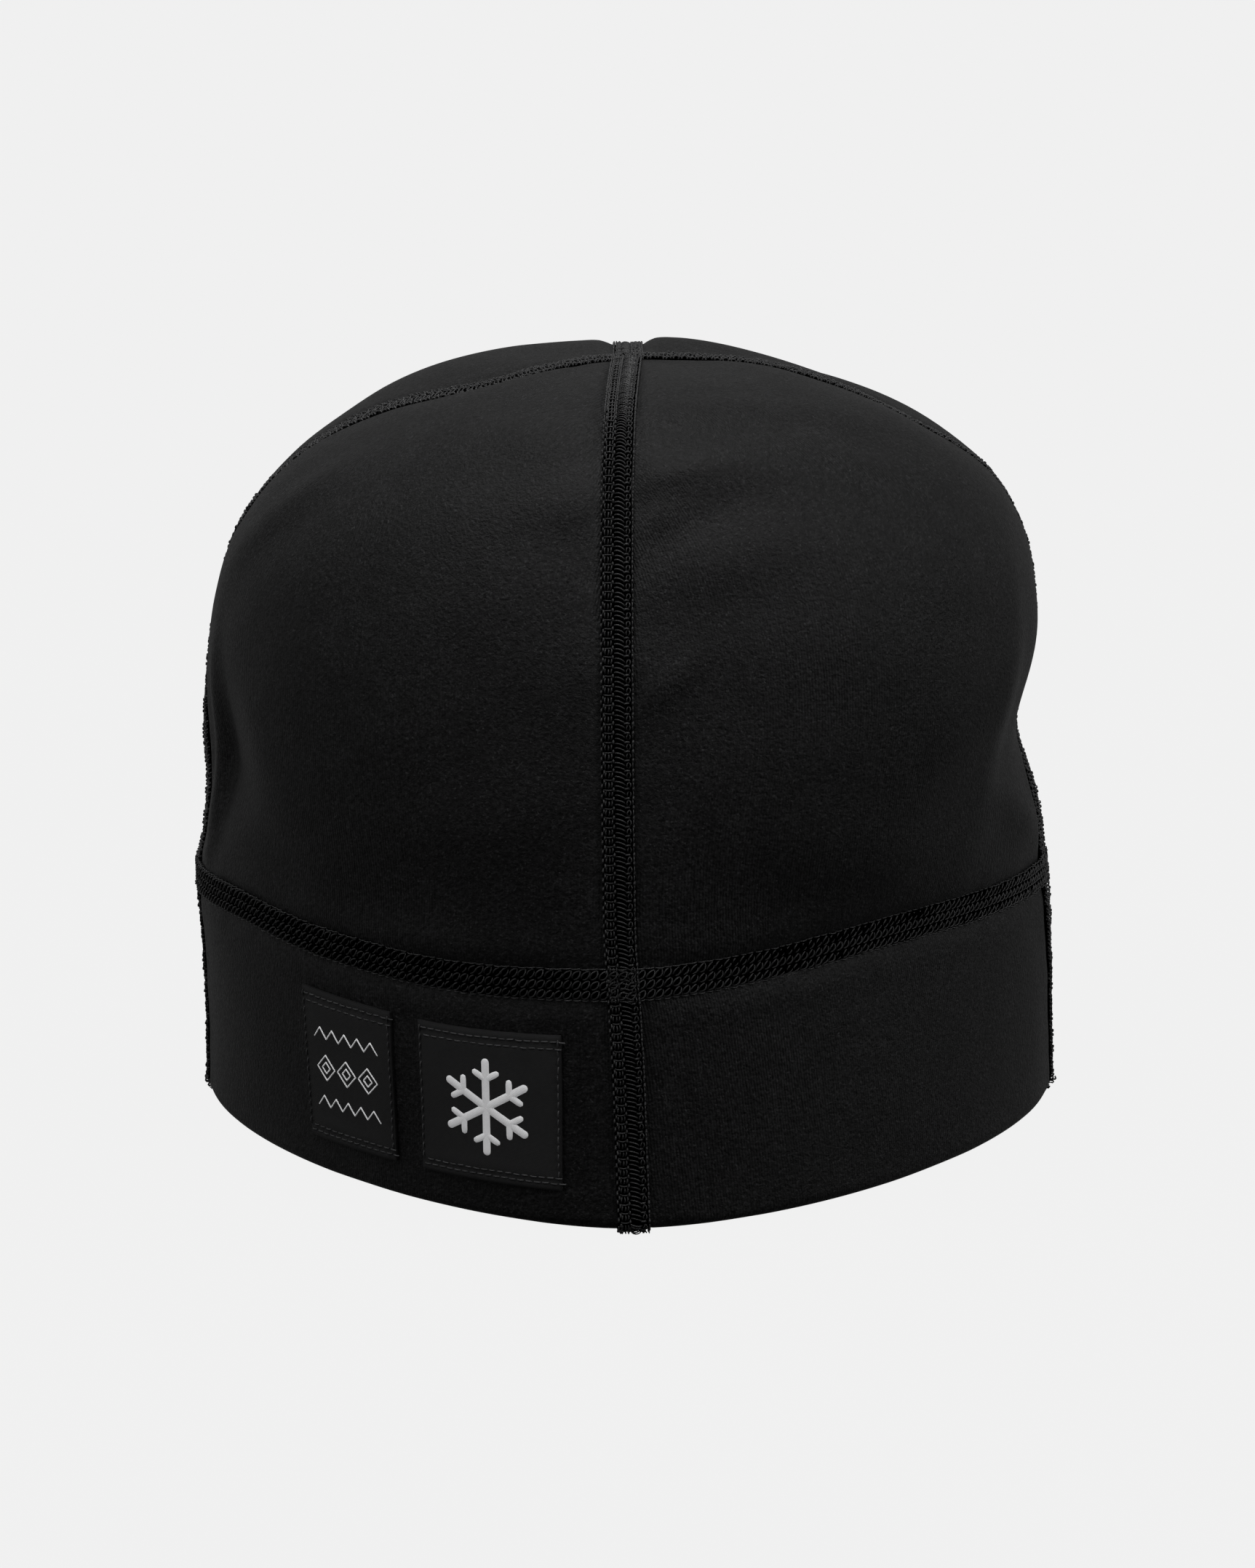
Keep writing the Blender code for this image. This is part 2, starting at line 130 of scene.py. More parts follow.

# The band has weaker ripples than the crown, and is painted lighter along its hem, partly as wear
# and partly as painted sheen
BAND_RIPPLES = 0.45
HEM_WEAR_AND_SHEEN = 0.7
OUTER_LEAF_ANGLE = 0.2

# Sewing lines: steps along them, and the part of the cross seam that is smoothed
CROWN_LINE_STEPS = 260
BAND_LINE_STEPS = 60
HEM_LINE_STEPS = 12
APEX_REACH = 11.0 * MM
APEX_ROUNDS = 60

# Threads lie this far below the top of their bed, in millimetres
SEWN_IN = 0.04
INNER_SEAM_WIDTH = 4.6 * MM

# The ring seam, outside: lowest and highest part of its face, its back and its threads
RING_FACE_LOW = -0.10 * MM
RING_FACE_RISE = 0.62 * MM
RING_BACK = -0.30 * MM
RING_THREADS = 0.48 * MM

# Inside, it bridges the step from the crown's wall to the two leaves of the band
INNER_RING_STEPS = 6
INNER_RING_REACH = 3.4 * MM
INNER_RING_RISE = 0.36 * MM
INNER_RING_THICKNESS = 0.30 * MM
INNER_RING_THREADS = 1.25 * MM

RIGHT, BACK, LEFT, FRONT = 0.0, math.pi / 2, math.pi, 3 * math.pi / 2
FULL_TURN = 2 * math.pi
STEP = 1e-4

# Plan sections, as in the solids. Heights are shares of the band height or of the crown
# rise, the next four columns are shares of the half width or half depth, the bows are
# superellipse powers, and the last three columns turn the seam lines, in degrees.
Section = namedtuple(
    "Section",
    "height left right front back left_bow right_bow back_bow front_seam right_seam left_seam",
)
BAND_SECTIONS = (
    Section(0.00, 0.990, 1.002, 1.004, 1.000, 1.60, 1.59, 1.60, 0.9, 0.0, 0.5),
    Section(0.33, 0.986, 0.994, 0.990, 0.994, 1.65, 1.55, 1.60, 0.5, -0.5, 1.0),
    Section(0.68, 0.990, 0.987, 0.980, 0.990, 1.69, 1.49, 1.61, 0.1, -1.2, 1.8),
)
CROWN_SECTIONS = (
    Section(0.000, 0.999, 0.974, 0.968, 0.985, 1.69, 1.44, 1.63, -0.5, -2.2, 2.8),
    Section(0.092, 0.980, 0.961, 0.962, 0.978, 1.72, 1.52, 1.69, -0.9, -3.2, 3.8),
    Section(0.184, 0.974, 0.952, 0.955, 0.968, 1.77, 1.62, 1.76, -1.0, -3.4, 4.2),
    Section(0.290, 0.982, 0.950, 0.943, 0.956, 1.83, 1.75, 1.84, -1.1, -2.4, 3.0),
    Section(0.420, 0.967, 0.952, 0.918, 0.932, 1.89, 1.86, 1.90, -1.2, -1.0, 1.0),
    Section(0.555, 0.934, 0.932, 0.885, 0.900, 1.93, 1.92, 1.94, -1.3, -1.0, -0.5),
    Section(0.685, 0.880, 0.892, 0.832, 0.848, 1.97, 1.97, 1.97, -1.4, -0.5, 0.0),
    Section(0.803, 0.762, 0.800, 0.765, 0.775, 2.00, 2.00, 2.00, -1.6, 0.0, 2.0),
    Section(0.898, 0.600, 0.630, 0.678, 0.672, 2.00, 2.00, 2.00, -1.8, 0.5, 9.0),
    Section(0.957, 0.436, 0.440, 0.560, 0.530, 2.00, 2.00, 2.00, -2.0, 2.0, 20.0),
    Section(0.988, 0.258, 0.260, 0.345, 0.320, 2.00, 2.00, 2.00, -2.0, 7.0, 25.0),
    Section(1.000, 0.000, 0.000, 0.000, 0.000, 2.00, 2.00, 2.00, -2.0, 15.0, 20.0),
)

# Waves of the band seam: direction in degrees, lift as a share of the band height, and
# reach in degrees
Wave = namedtuple("Wave", "turn lift turn_spread")
WAVES = (
    Wave(206.0, 0.033, 13.0),
    Wave(247.0, -0.020, 14.0),
    Wave(312.0, 0.041, 26.0),
)
WAVE_LEVELS = 1.4

# Soft dents of the crown, as in the solids: direction in degrees, share of the way up,
# depth as a share of the half width, and reach in degrees and in shares of the way up
Dent = namedtuple("Dent", "turn level depth turn_spread level_spread")
DENTS = (
    Dent(199.0, 0.26, 0.058, 11.0, 0.095),
    Dent(357.0, 0.29, 0.058, 24.0, 0.100),
    Dent(4.0, 0.72, 0.016, 16.0, 0.070),
    Dent(228.0, 0.45, -0.016, 20.0, 0.180),
    Dent(318.0, 0.52, -0.014, 22.0, 0.200),
    Dent(160.0, 0.34, 0.020, 20.0, 0.120),
    Dent(240.0, 0.84, 0.010, 22.0, 0.080),
    Dent(204.0, 0.88, 0.015, 16.0, 0.080),
    Dent(150.0, 0.84, -0.004, 24.0, 0.100),
)

# Slow ripples of the cloth: waves for each metre along X, Y and Z, phase and share of the
# wrinkle height
Ripple = namedtuple("Ripple", "x y z phase share")
RIPPLES = (
    Ripple(19.0, 7.0, 26.0, 0.4, 0.30),
    Ripple(-27.0, 12.0, 17.0, 1.7, 0.28),
    Ripple(11.0, -31.0, 23.0, 2.9, 0.24),
    Ripple(36.0, 21.0, -14.0, 4.1, 0.20),
    Ripple(-9.0, 29.0, 44.0, 5.3, 0.16),
    Ripple(48.0, -17.0, 33.0, 0.9, 0.12),
)

# Soft folds of the cloth: direction in degrees and level of the middle, lean of the fold
# from level in degrees, half length, half breadth and height in millimetres
Fold = namedtuple("Fold", "turn level lean length breadth height")
FOLDS = (
    Fold(279.0, 10.65, 14.0, 15.0, 4.6, 1.75),
    Fold(276.0, 10.05, 26.0, 12.0, 3.0, 0.90),
    Fold(296.0, 11.95, -6.0, 22.0, 5.0, 0.60),
    Fold(252.0, 11.40, 10.0, 22.0, 5.5, 0.60),
    Fold(206.0, 9.60, 48.0, 20.0, 5.0, 0.70),
    Fold(274.5, 7.75, 40.0, 8.0, 3.0, 0.55),
    Fold(285.0, 9.30, 14.0, 18.0, 5.0, 0.45),
    Fold(264.0, 10.05, -12.0, 14.0, 4.5, 0.45),
    Fold(311.0, 10.40, -20.0, 26.0, 7.0, 0.55),
    Fold(193.5, 5.75, 86.0, 20.0, 3.6, 1.70),
    Fold(316.0, 4.55, -6.0, 36.0, 9.0, 1.00),
    Fold(326.0, 7.00, 30.0, 24.0, 9.0, 0.70),
    Fold(34.0, 12.60, 90.0, 24.0, 14.0, -2.20),
    Fold(332.0, 7.10, 78.0, 26.0, 6.5, 0.70),
    Fold(346.0, 4.60, -25.0, 20.0, 4.5, 0.70),
    Fold(236.0, 5.20, 12.0, 30.0, 8.0, 0.40),
    Fold(305.0, 5.10, -14.0, 30.0, 8.0, 0.40),
    Fold(60.0, 8.50, 20.0, 26.0, 7.0, 0.60),
    Fold(118.0, 6.20, -30.0, 24.0, 6.0, 0.60),
    Fold(95.0, 10.60, 6.0, 18.0, 4.5, 0.60),
    Fold(30.0, 5.60, 35.0, 22.0, 6.0, 0.60),
    Fold(150.0, 9.60, -40.0, 20.0, 5.5, 0.60),
)

# Stitches. A strand runs from (x1, y1) to (x2, y2), in shares of the seam width and of the
# stitch pitch, and bows sideways in the same shares. A lane is thread of one thickness,
# given as a share of the thread radius.
Strand = namedtuple("Strand", "x1 y1 x2 y2 bow_x bow_y steps")
Lane = namedtuple("Lane", "thickness strands")
COVER_STITCH = (
    Lane(1.35, (
        Strand(-0.480, 0.10, -0.475, 0.52, -0.010, 0.0, 3),
        Strand(-0.430, 0.58, -0.425, 1.00, 0.012, 0.0, 3),
    )),
    Lane(1.45, (
        Strand(-0.130, -0.14, -0.128, 0.22, 0.0, 0.0, 3),
        Strand(0.205, 0.00, 0.350, 0.05, 0.0, 0.05, 3),
        Strand(0.462, -0.12, 0.466, 0.24, 0.0, 0.0, 3),
    )),
    Lane(0.95, (
        Strand(-0.410, 0.04, -0.145, 0.02, 0.0, -0.06, 4),
        Strand(-0.365, 0.22, -0.350, 0.86, -0.018, 0.0, 3),
        Strand(-0.285, 0.18, -0.270, 0.80, 0.016, 0.0, 3),
        Strand(-0.205, 0.24, -0.180, 0.88, 0.020, 0.0, 3),
    )),
    Lane(1.05, (
        Strand(-0.100, 0.86, 0.225, 0.46, 0.02, 0.16, 5),
        Strand(-0.095, 0.40, 0.230, 0.02, -0.01, 0.16, 5),
    )),
    Lane(0.85, (
        Strand(0.300, 0.24, 0.330, 0.86, -0.040, 0.0, 4),
        Strand(0.330, 0.20, 0.340, 0.84, 0.055, 0.0, 4),
        Strand(0.450, 0.26, 0.455, 0.92, 0.012, 0.0, 3),
    )),
)
RING_STITCH = (
    Lane(1.10, (
        Strand(-0.180, 0.02, -0.440, 0.84, -0.055, -0.20, 5),
        Strand(-0.175, 0.10, -0.430, 0.92, 0.060, 0.22, 5),
    )),
    Lane(1.10, (
        Strand(0.130, 0.02, -0.130, 0.84, -0.055, -0.20, 5),
        Strand(0.135, 0.10, -0.120, 0.92, 0.060, 0.22, 5),
    )),
    Lane(1.10, (
        Strand(0.435, 0.02, 0.185, 0.84, -0.055, -0.20, 5),
        Strand(0.440, 0.10, 0.195, 0.92, 0.060, 0.22, 5),
    )),
    Lane(0.95, (
        Strand(-0.490, 0.05, -0.492, 0.98, -0.006, 0.0, 3),
        Strand(0.490, 0.00, 0.492, 0.80, 0.006, 0.0, 3),
    )),
)
INSIDE_STITCH = (
    Lane(1.05, (
        Strand(-0.330, 0.00, 0.330, 0.48, 0.0, 0.10, 5),
        Strand(0.330, 0.50, -0.330, 0.98, 0.0, 0.10, 5),
    )),
)
RUNNING_STITCH = (
    Lane(1.00, (Strand(0.0, 0.14, 0.0, 0.86, 0.0, 0.0, 4),)),
)
STITCHES = {
    "Cover stitch": COVER_STITCH,
    "Ring stitch": RING_STITCH,
    "Inside stitch": INSIDE_STITCH,
    "Running stitch": RUNNING_STITCH,
}
STITCH_INPUTS = (
    ("Stitch pitch", "Float"),
    ("Seam width", "Float"),
    ("Thread radius", "Float"),
    ("Thread rise", "Float"),
    ("Slack", "Float"),
    ("Seed", "Int"),
    ("Thread", "Material"),
)

# A strand dips at its ends and rises in its middle, in shares of the thread rise. The two
# handles of its curve stand further out than the curve itself, by the share of the bow.
STRAND_DIP = -0.35
STRAND_RISE = 1.45
STRAND_BOW = 1.33
STRAND_HANDLE = 0.22
THREAD_SIDES = 4
LANE_SEEDS = 17
DARKEST_STITCH = 0.25

# Ribs of the jersey wander by two noises of these scales and strengths, and their loops
# are this many rib pitches long
RIB_DRIFTS = ((55.0, 5.0), (480.0, 3.4))
LOOP_LENGTH = 1.6

# Raised lines of the label motifs, from the label's middle, all in shares of its width
Line = namedtuple("Line", "x1 y1 x2 y2 width")
ARM_LENGTH = 0.30
ARM_THICKNESS = 0.052
TWIG_PLACE = 0.185
TWIG_LENGTH = 0.085
TWIG_THICKNESS = 0.042
CHAIN_WIDTH = 0.72
CHAIN_THICKNESS = 0.013
ZIGZAG_PLACE = 0.285
ZIGZAG_HEIGHT = 0.045
ZIGZAG_STEPS = 10
DIAMONDS = 3
DIAMOND_SIZES = (0.104, 0.046)

# A label is pressed down by its stitches, falls at its edge and swells inside its rows
LABEL_PRESS = 0.09 * MM
LABEL_FALL = 0.22 * MM
LABEL_SWELL = 0.07 * MM

# Rows of stitches across a label: end of the label, distance from it and distance from the
# sides in millimetres. Then the rows up its sides: distances from the sides and the ends.
LABEL_ROWS = ((1, 1.3, 0.6), (1, 2.7, 1.3), (-1, 1.5, 0.6), (-1, 2.6, 1.3))
LABEL_SIDE_ROW = (0.55, 2.4)
LABEL_ROW_STEPS = 60

# Nodes are laid out in rows
NODES_IN_ROW = 12
NODE_WIDTH = 190.0
NODE_HEIGHT = 260.0

ROWS = BAND_SECTIONS + CROWN_SECTIONS
RING_LEVEL = len(BAND_SECTIONS)
TOP_LEVEL = len(ROWS) - 1


# Shape of the hat, the same as in the solids


def column_curve(name):
    """One column of the section table, carried on past both of its ends."""
    values = [getattr(row, name) for row in ROWS]
    if name == "height":
        values = [value * BAND_HEIGHT for value in values[:RING_LEVEL]]
        values += [BAND_HEIGHT + row.height * CROWN_RISE for row in CROWN_SECTIONS]
    mirrored = name == "height" or name.endswith("bow")
    past = values[-2] if mirrored else 2 * values[-1] - values[-2]
    return np.array([2 * values[0] - values[1], *values, past])


CURVES = {name: column_curve(name) for name in Section._fields}


def between_rows(name, level):
    """A smooth value between the table's rows, by a Catmull-Rom curve."""
    row = np.clip(np.floor(level).astype(int), 0, TOP_LEVEL - 1)
    share = level - row
    a, b, c, d = (CURVES[name][row + step] for step in range(4))
    bend = (2 * a - 5 * b + 4 * c - d) * share**2
    twist = (3 * b - a - 3 * c + d) * share**3
    return 0.5 * (2 * b + (c - a) * share + bend + twist)


def seam_turn(side, level):
    """Direction of a seam line at a level, in radians."""
    column = {FRONT: "front_seam", RIGHT: "right_seam", LEFT: "left_seam"}.get(side)
    if column is None:
        return side + 0.0 * level
    return side + np.radians(between_rows(column, level))


def degrees_from(turn, direction):
    """Degrees from a direction round to the turns, between -180 and 180."""
    return (np.degrees(turn) - direction + 180) % 360 - 180


def wave_lift(turn, level):
    """Lift of the surface by the waves of the band seam."""
    lift = 0.0
    for wave in WAVES:
        reach = (degrees_from(turn, wave.turn) / wave.turn_spread) ** 2
        lift = lift + wave.lift * BAND_HEIGHT * np.exp(-reach)
    share = np.clip(1 - np.abs(level - RING_LEVEL) / (2 * WAVE_LEVELS), 0.0, 1.0)
    return lift * share**2 * (3 - 2 * share)


def plain_point(turn, level):
    """Points of the hat's plain outer form, before puffs and dents."""
    across, along = np.cos(turn), np.sin(turn)
    bows = [between_rows(name + "_bow", level) for name in ("back", "right", "left")]
    power = np.where(along > 0, bows[0], np.where(across > 0, bows[1], bows[2]))
    radius = (np.abs(across) ** power + np.abs(along) ** power) ** (-1 / power)
    right, left = between_rows("right", level), between_rows("left", level)
    back, front = between_rows("back", level), between_rows("front", level)
    width = np.where(across > 0, right, left) * HALF_WIDTH
    depth = np.where(along > 0, back, front) * HALF_DEPTH
    height = between_rows("height", level) + wave_lift(turn, level)
    return np.stack((width * radius * across, depth * radius * along, height), axis=-1)


def unit(vector):
    """Vectors scaled to length one."""
    return vector / np.linalg.norm(vector, axis=-1, keepdims=True)


def ridge(share):
    """1 in the middle of a span from -1 to 1, with a flat top, and 0 at both of its ends."""
    return 1 - np.abs(share) ** FLAT_TOP_POWER


def outward(point_of, turn, level):
    """Unit normals, pointing out, of a surface given as point_of(turn, level)."""
    level = np.minimum(level, TOP_LEVEL - 0.02)
    round_way = point_of(turn + STEP, level) - point_of(turn - STEP, level)
    up_way = point_of(turn, level + STEP) - point_of(turn, level - STEP)
    return unit(np.cross(round_way, up_way))


def puff_share(turn, level):
    """0 on the flat bed of a seam, and rising to 1 in the middle of a panel."""
    edges = [seam_turn(side, level) for side in (RIGHT, BACK, LEFT, FRONT)]
    edges.append(edges[0] + FULL_TURN)
    turn = edges[0] + (turn - edges[0]) % FULL_TURN
    size = (HALF_WIDTH + HALF_DEPTH) / 2 * between_rows("left", level)
    bed = (SEAM_WIDTH / 2 + PANEL_GAP) / np.maximum(size, SEAM_WIDTH)
    share = 0.0
    for first, last in zip(edges, edges[1:]):
        place = np.clip((turn - first - bed) / (last - first - 2 * bed), 0.0, 1.0)
        share = share + ridge(2 * place - 1)
    return share


def dent_depth(turn, level):
    """Depth of all dents together at a place of the crown."""
    share = (level - RING_LEVEL) / (TOP_LEVEL - RING_LEVEL)
    depth = 0.0
    for dent in DENTS:
        reach = (degrees_from(turn, dent.turn) / dent.turn_spread) ** 2
        reach = reach + ((share - dent.level) / dent.level_spread) ** 2
        depth = depth + dent.depth * HALF_WIDTH * np.exp(-reach)
    return depth


def outer_point(turn, level):
    """Points of the hat's finished outer surface."""
    puff = np.where(level < RING_LEVEL, BAND_PUFF, CROWN_PUFF)
    puff = puff * np.clip(2 * np.abs(level - RING_LEVEL), 0.0, 1.0)
    rise = puff * puff_share(turn, level) - dent_depth(turn, level)
    rise = rise * np.clip(between_rows("left", level) * 4 - 0.4, 0.0, 1.0)
    normal = outward(plain_point, turn, level)
    return plain_point(turn, level) + rise[..., None] * normal


def surface_point(turn, level, proud):
    """Points that stand proud of the outer surface, or inside it if proud is negative."""
    proud = np.asarray(proud)[..., None]
    return outer_point(turn, level) + proud * outward(outer_point, turn, level)


def path_length(points):
    """Length along a row of points, from the first one to each of them."""
    steps = np.linalg.norm(np.diff(points, axis=0), axis=1)
    return np.concatenate(([0.0], np.cumsum(steps)))


def level_at_height(turn, height):
    """Level at which the outer surface reaches a height on the band."""
    levels = np.linspace(0.0, RING_LEVEL, 400)
    heights = outer_point(np.full_like(levels, turn), levels)[:, 2]
    return float(np.interp(height, heights, levels))


def level_after(side, level, distance):
    """Level reached by going a distance along a seam line, upwards if it is positive."""
    levels = level + np.linspace(0.0, math.copysign(1.0, distance), 400)
    levels = levels[levels <= TOP_LEVEL]
    gone = path_length(outer_point(seam_turn(side, levels), levels))
    return float(np.interp(abs(distance), gone, levels))


def turn_after(turn, level, distance):
    """Direction reached by going a distance round the hat at one level."""
    turns = turn + np.linspace(0.0, math.copysign(1.0, distance), 800)
    gone = path_length(outer_point(turns, np.full_like(turns, level)))
    return float(np.interp(abs(distance), gone, turns))


def top_row_level():
    """Level of the small ring round the apex where the panel tips end."""
    size = (HALF_WIDTH + HALF_DEPTH) / 2 * CROWN_SECTIONS[-2].left
    return TOP_LEVEL - APEX_RADIUS / size


CROWN_EDGE = level_after(FRONT, RING_LEVEL, PANEL_GAP / 2)
BAND_EDGE = level_after(FRONT, RING_LEVEL, -PANEL_GAP / 2)
RING_LOW = level_after(FRONT, RING_LEVEL, -SEAM_WIDTH / 2)
RING_HIGH = level_after(FRONT, RING_LEVEL, SEAM_WIDTH / 2)
FOLD_LEVEL = level_at_height(FRONT, FOLD_CENTRE_HEIGHT)


def seam_side_turn(side, level, distance):
    """Direction a short distance beside a seam line, measured round the hat."""
    turn = seam_turn(side, level)
    size = np.linalg.norm(plain_point(turn, level)[..., :2], axis=-1)
    beside = distance / np.maximum(size, APEX_RADIUS / 2)
    return turn + np.clip(beside, -BESIDE_LIMIT, BESIDE_LIMIT)


def panel_turns(start, end, levels):
    """Directions of a panel's columns at every level, crowded a little at the seams."""
    first = seam_side_turn(start, levels, PANEL_GAP / 2)
    last = seam_side_turn(end, levels, -PANEL_GAP / 2)
    if end < start:
        last = last + FULL_TURN
    share = np.linspace(0.0, 1.0, PANEL_COLUMNS + 1)
    share = share - COLUMN_EASE * np.sin(FULL_TURN * share) / FULL_TURN
    return first[:, None] + (last - first)[:, None] * share


def even_levels(side, first, last, steps):
    """Levels that lie evenly along a seam line between two levels."""
    levels = np.linspace(first, last, 1600)
    gone = path_length(outer_point(seam_turn(side, levels), levels))
    return np.interp(np.linspace(0.0, gone[-1], steps + 1), gone, levels)


def fold_frame(turn, level, angle):
    """Middle between the band's two leaves, and the direction out of the fold."""
    normal = outward(outer_point, turn, level)
    normal[..., 2] = 0.0
    normal = unit(normal)
    middle = outer_point(turn, level) - FOLD_REACH * normal
    middle[..., 2] = np.where(level <= FOLD_LEVEL, FOLD_CENTRE_HEIGHT, middle[..., 2])
    down = np.array((0.0, 0.0, -1.0))
    around = np.cos(angle)[..., None] * normal + np.sin(angle)[..., None] * down
    return middle, around


# Fine relief of the cloth


def bell(value):
    """A smooth bump, 1 at zero and close to nothing past 2."""
    return np.exp(-(value**2))


def slow_ripples(points):
    """Soft unevenness of stretched cloth, between about -1 and 1."""
    height = 0.0
    for ripple in RIPPLES:
        way = points @ np.array((ripple.x, ripple.y, ripple.z))
        height = height + ripple.share * np.sin(FULL_TURN * way + ripple.phase)
    return height


def soft_folds(points):
    """Height of the soft folds together at points near the outer surface."""
    height = 0.0
    for fold in FOLDS:
        turn, level = np.array([math.radians(fold.turn)]), np.array([fold.level])
        middle, normal = outer_point(turn, level)[0], outward(outer_point, turn, level)[0]
        east = unit(np.cross((0.0, 0.0, 1.0), normal))
        north = np.cross(normal, east)
        lean = math.radians(fold.lean)
        away = (points - middle) / MM
        long_way = away @ (math.cos(lean) * east + math.sin(lean) * north) / fold.length
        short_way = away @ (math.cos(lean) * north - math.sin(lean) * east) / fold.breadth
        hollow = FOLD_HOLLOW * bell((short_way + HOLLOW_PLACE) * HOLLOW_STEEPNESS)
        bump = bell(short_way) - hollow
        bump = bump * bell(long_way) * bell(away @ normal / FOLD_DEPTH)
        height = height + fold.height * MM * bump
    return height


def seam_relief(distance, along, cloth):
    """Cloth pressed down under a seam, swelling beside it and puckered by its stitches."""
    edge = distance - SEAM_WIDTH / 2
    press = -cloth.seam_press * bell(distance / (SEAM_WIDTH * 0.52))
    swell = cloth.seam_swell * bell((edge - SWELL_PLACE) / SWELL_REACH)
    pucker = 0.0
    for length, phase, share in PUCKERS:
        pucker = pucker + share * np.sin(along / (length * MM) + phase)
    pucker = pucker / sum(share for _, _, share in PUCKERS)
    reach = bell((edge - PUCKER_PLACE) / PUCKER_REACH)
    return press + swell + cloth.pucker_depth * pucker * reach


def seam_wear_and_sheen(*distances):
    """Nearness to the seams, where the cloth is painted lighter: partly wear and partly painted
    sheen.
    """
    return np.max([bell((far - SEAM_WIDTH / 2) / WEAR_AND_SHEEN_REACH) for far in distances], axis=0)


# Meshes


Part = namedtuple("Part", "points faces uv wear finish")


def wall_part(outer, inner, uv=None, wear=None, finish=0, closed=False):
    """A closed wall between two grids of points. Its faces point out."""
    rows, columns = outer.shape[:2]
    count = rows * columns
    index = np.arange(count).reshape(rows, columns)
    if closed:
        index = np.concatenate((index, index[:, :1]), axis=1)
    corners = (index[:-1, :-1], index[:-1, 1:], index[1:, 1:], index[1:, :-1])
    quads = np.stack(corners, axis=-1).reshape(-1, 4)
    if closed:
        rims = (index[0], index[-1, ::-1])
    else:
        rims = (np.concatenate((index[0], index[1:, -1], index[-1, -2::-1], index[-2::-1, 0])),)
    faces = [quads, quads[:, ::-1] + count]
    for rim in rims:
        faces.append(np.stack((rim[1:], rim[:-1], rim[:-1] + count, rim[1:] + count), -1))
    faces = np.concatenate(faces)
    points = np.concatenate((outer.reshape(-1, 3), inner.reshape(-1, 3)))
    a, b, c, d = (points[faces[:, corner]] for corner in range(4))
    volume = np.sum(a * np.cross(b, c)) + np.sum(a * np.cross(c, d))
    if volume < 0:
        faces = faces[:, ::-1]
    flat = np.zeros((count, 2)) if uv is None else uv.reshape(-1, 2)
    edge_factor = np.zeros(count) if wear is None else wear.reshape(-1)
    return Part(points, faces, np.tile(flat, (2, 1)), np.tile(edge_factor, 2), finish)


def mesh_of(name, parts, finishes, lines=()):
    """One mesh from several parts, and from the sewing lines that its stitches follow.
    A line is (points, normals, closed)."""
    points = [part.points for part in parts]
    starts = np.cumsum([0] + [len(each) for each in points])
    faces = np.concatenate([part.faces + start for part, start in zip(parts, starts)])
    edges = []
    size = cloth_size = int(starts[-1])
    for line, _, closed in lines:
        here = np.arange(size, size + len(line))
        edges.append(np.stack((here[:-1], here[1:]), axis=1))
        if closed:
            edges.append([[here[-1], here[0]]])
        size += len(line)
        points.append(line)
    edges = np.concatenate(edges).tolist() if edges else []
    mesh = bpy.data.meshes.new(name)
    mesh.from_pydata(np.concatenate(points).tolist(), edges, faces.tolist())
    for finish in finishes:
        mesh.materials.append(finish)
    slots = np.concatenate([np.full(len(part.faces), part.finish) for part in parts])
    mesh.polygons.foreach_set("material_index", slots.astype(np.int32))
    corners = np.empty(len(mesh.loops), dtype=np.int32)
    mesh.loops.foreach_get("vertex_index", corners)
    uv = np.concatenate([part.uv for part in parts])
    layer = mesh.uv_layers.new(name="cloth")
    layer.data.foreach_set("uv", uv[corners].astype(np.float32).ravel())
    wear = np.zeros(size, dtype=np.float32)
    wear[:cloth_size] = np.concatenate([part.wear for part in parts])
    marks = [("wear", "FLOAT", "value", wear)]
    if lines:
        lift = np.zeros((size, 3), dtype=np.float32)
        lift[cloth_size:] = np.concatenate([normals for _, normals, _ in lines])
        marks.append(("lift", "FLOAT_VECTOR", "vector", lift.ravel()))
        marks.append(("sewing_line", "BOOLEAN", "value", np.arange(size) >= cloth_size))
    for label, kind, field, values in marks:
        mesh.attributes.new(label, kind, "POINT").data.foreach_set(field, values)
    mesh.shade_smooth()
    mesh.set_sharp_from_angle(angle=SHARP_EDGE)
    return mesh


def linked(name, data):
    """A new object in the scene."""
    made = bpy.data.objects.new(name, data)
    bpy.context.scene.collection.objects.link(made)
    return made


def settle(piece, slot, *nodes):
    """Ride a piece on the hat and let it stand for its solids. The slot is not used."""
    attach(piece, "root")
    if nodes:
        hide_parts(*nodes)
    return piece


def cloth_piece(node, outer, inner, uv, wear, finish):
    """One panel of cloth in place of the solid of a node."""
    mesh = mesh_of("cloth_" + node, [wall_part(outer, inner, uv, wear)], [finish])
    piece = settle(linked("cloth_" + node, mesh), "neoprene", node)


# Node helpers


def open_socket(sockets, name):
    """The socket of a name that is in use."""
    return next(socket for socket in sockets if socket.name == name and socket.enabled)


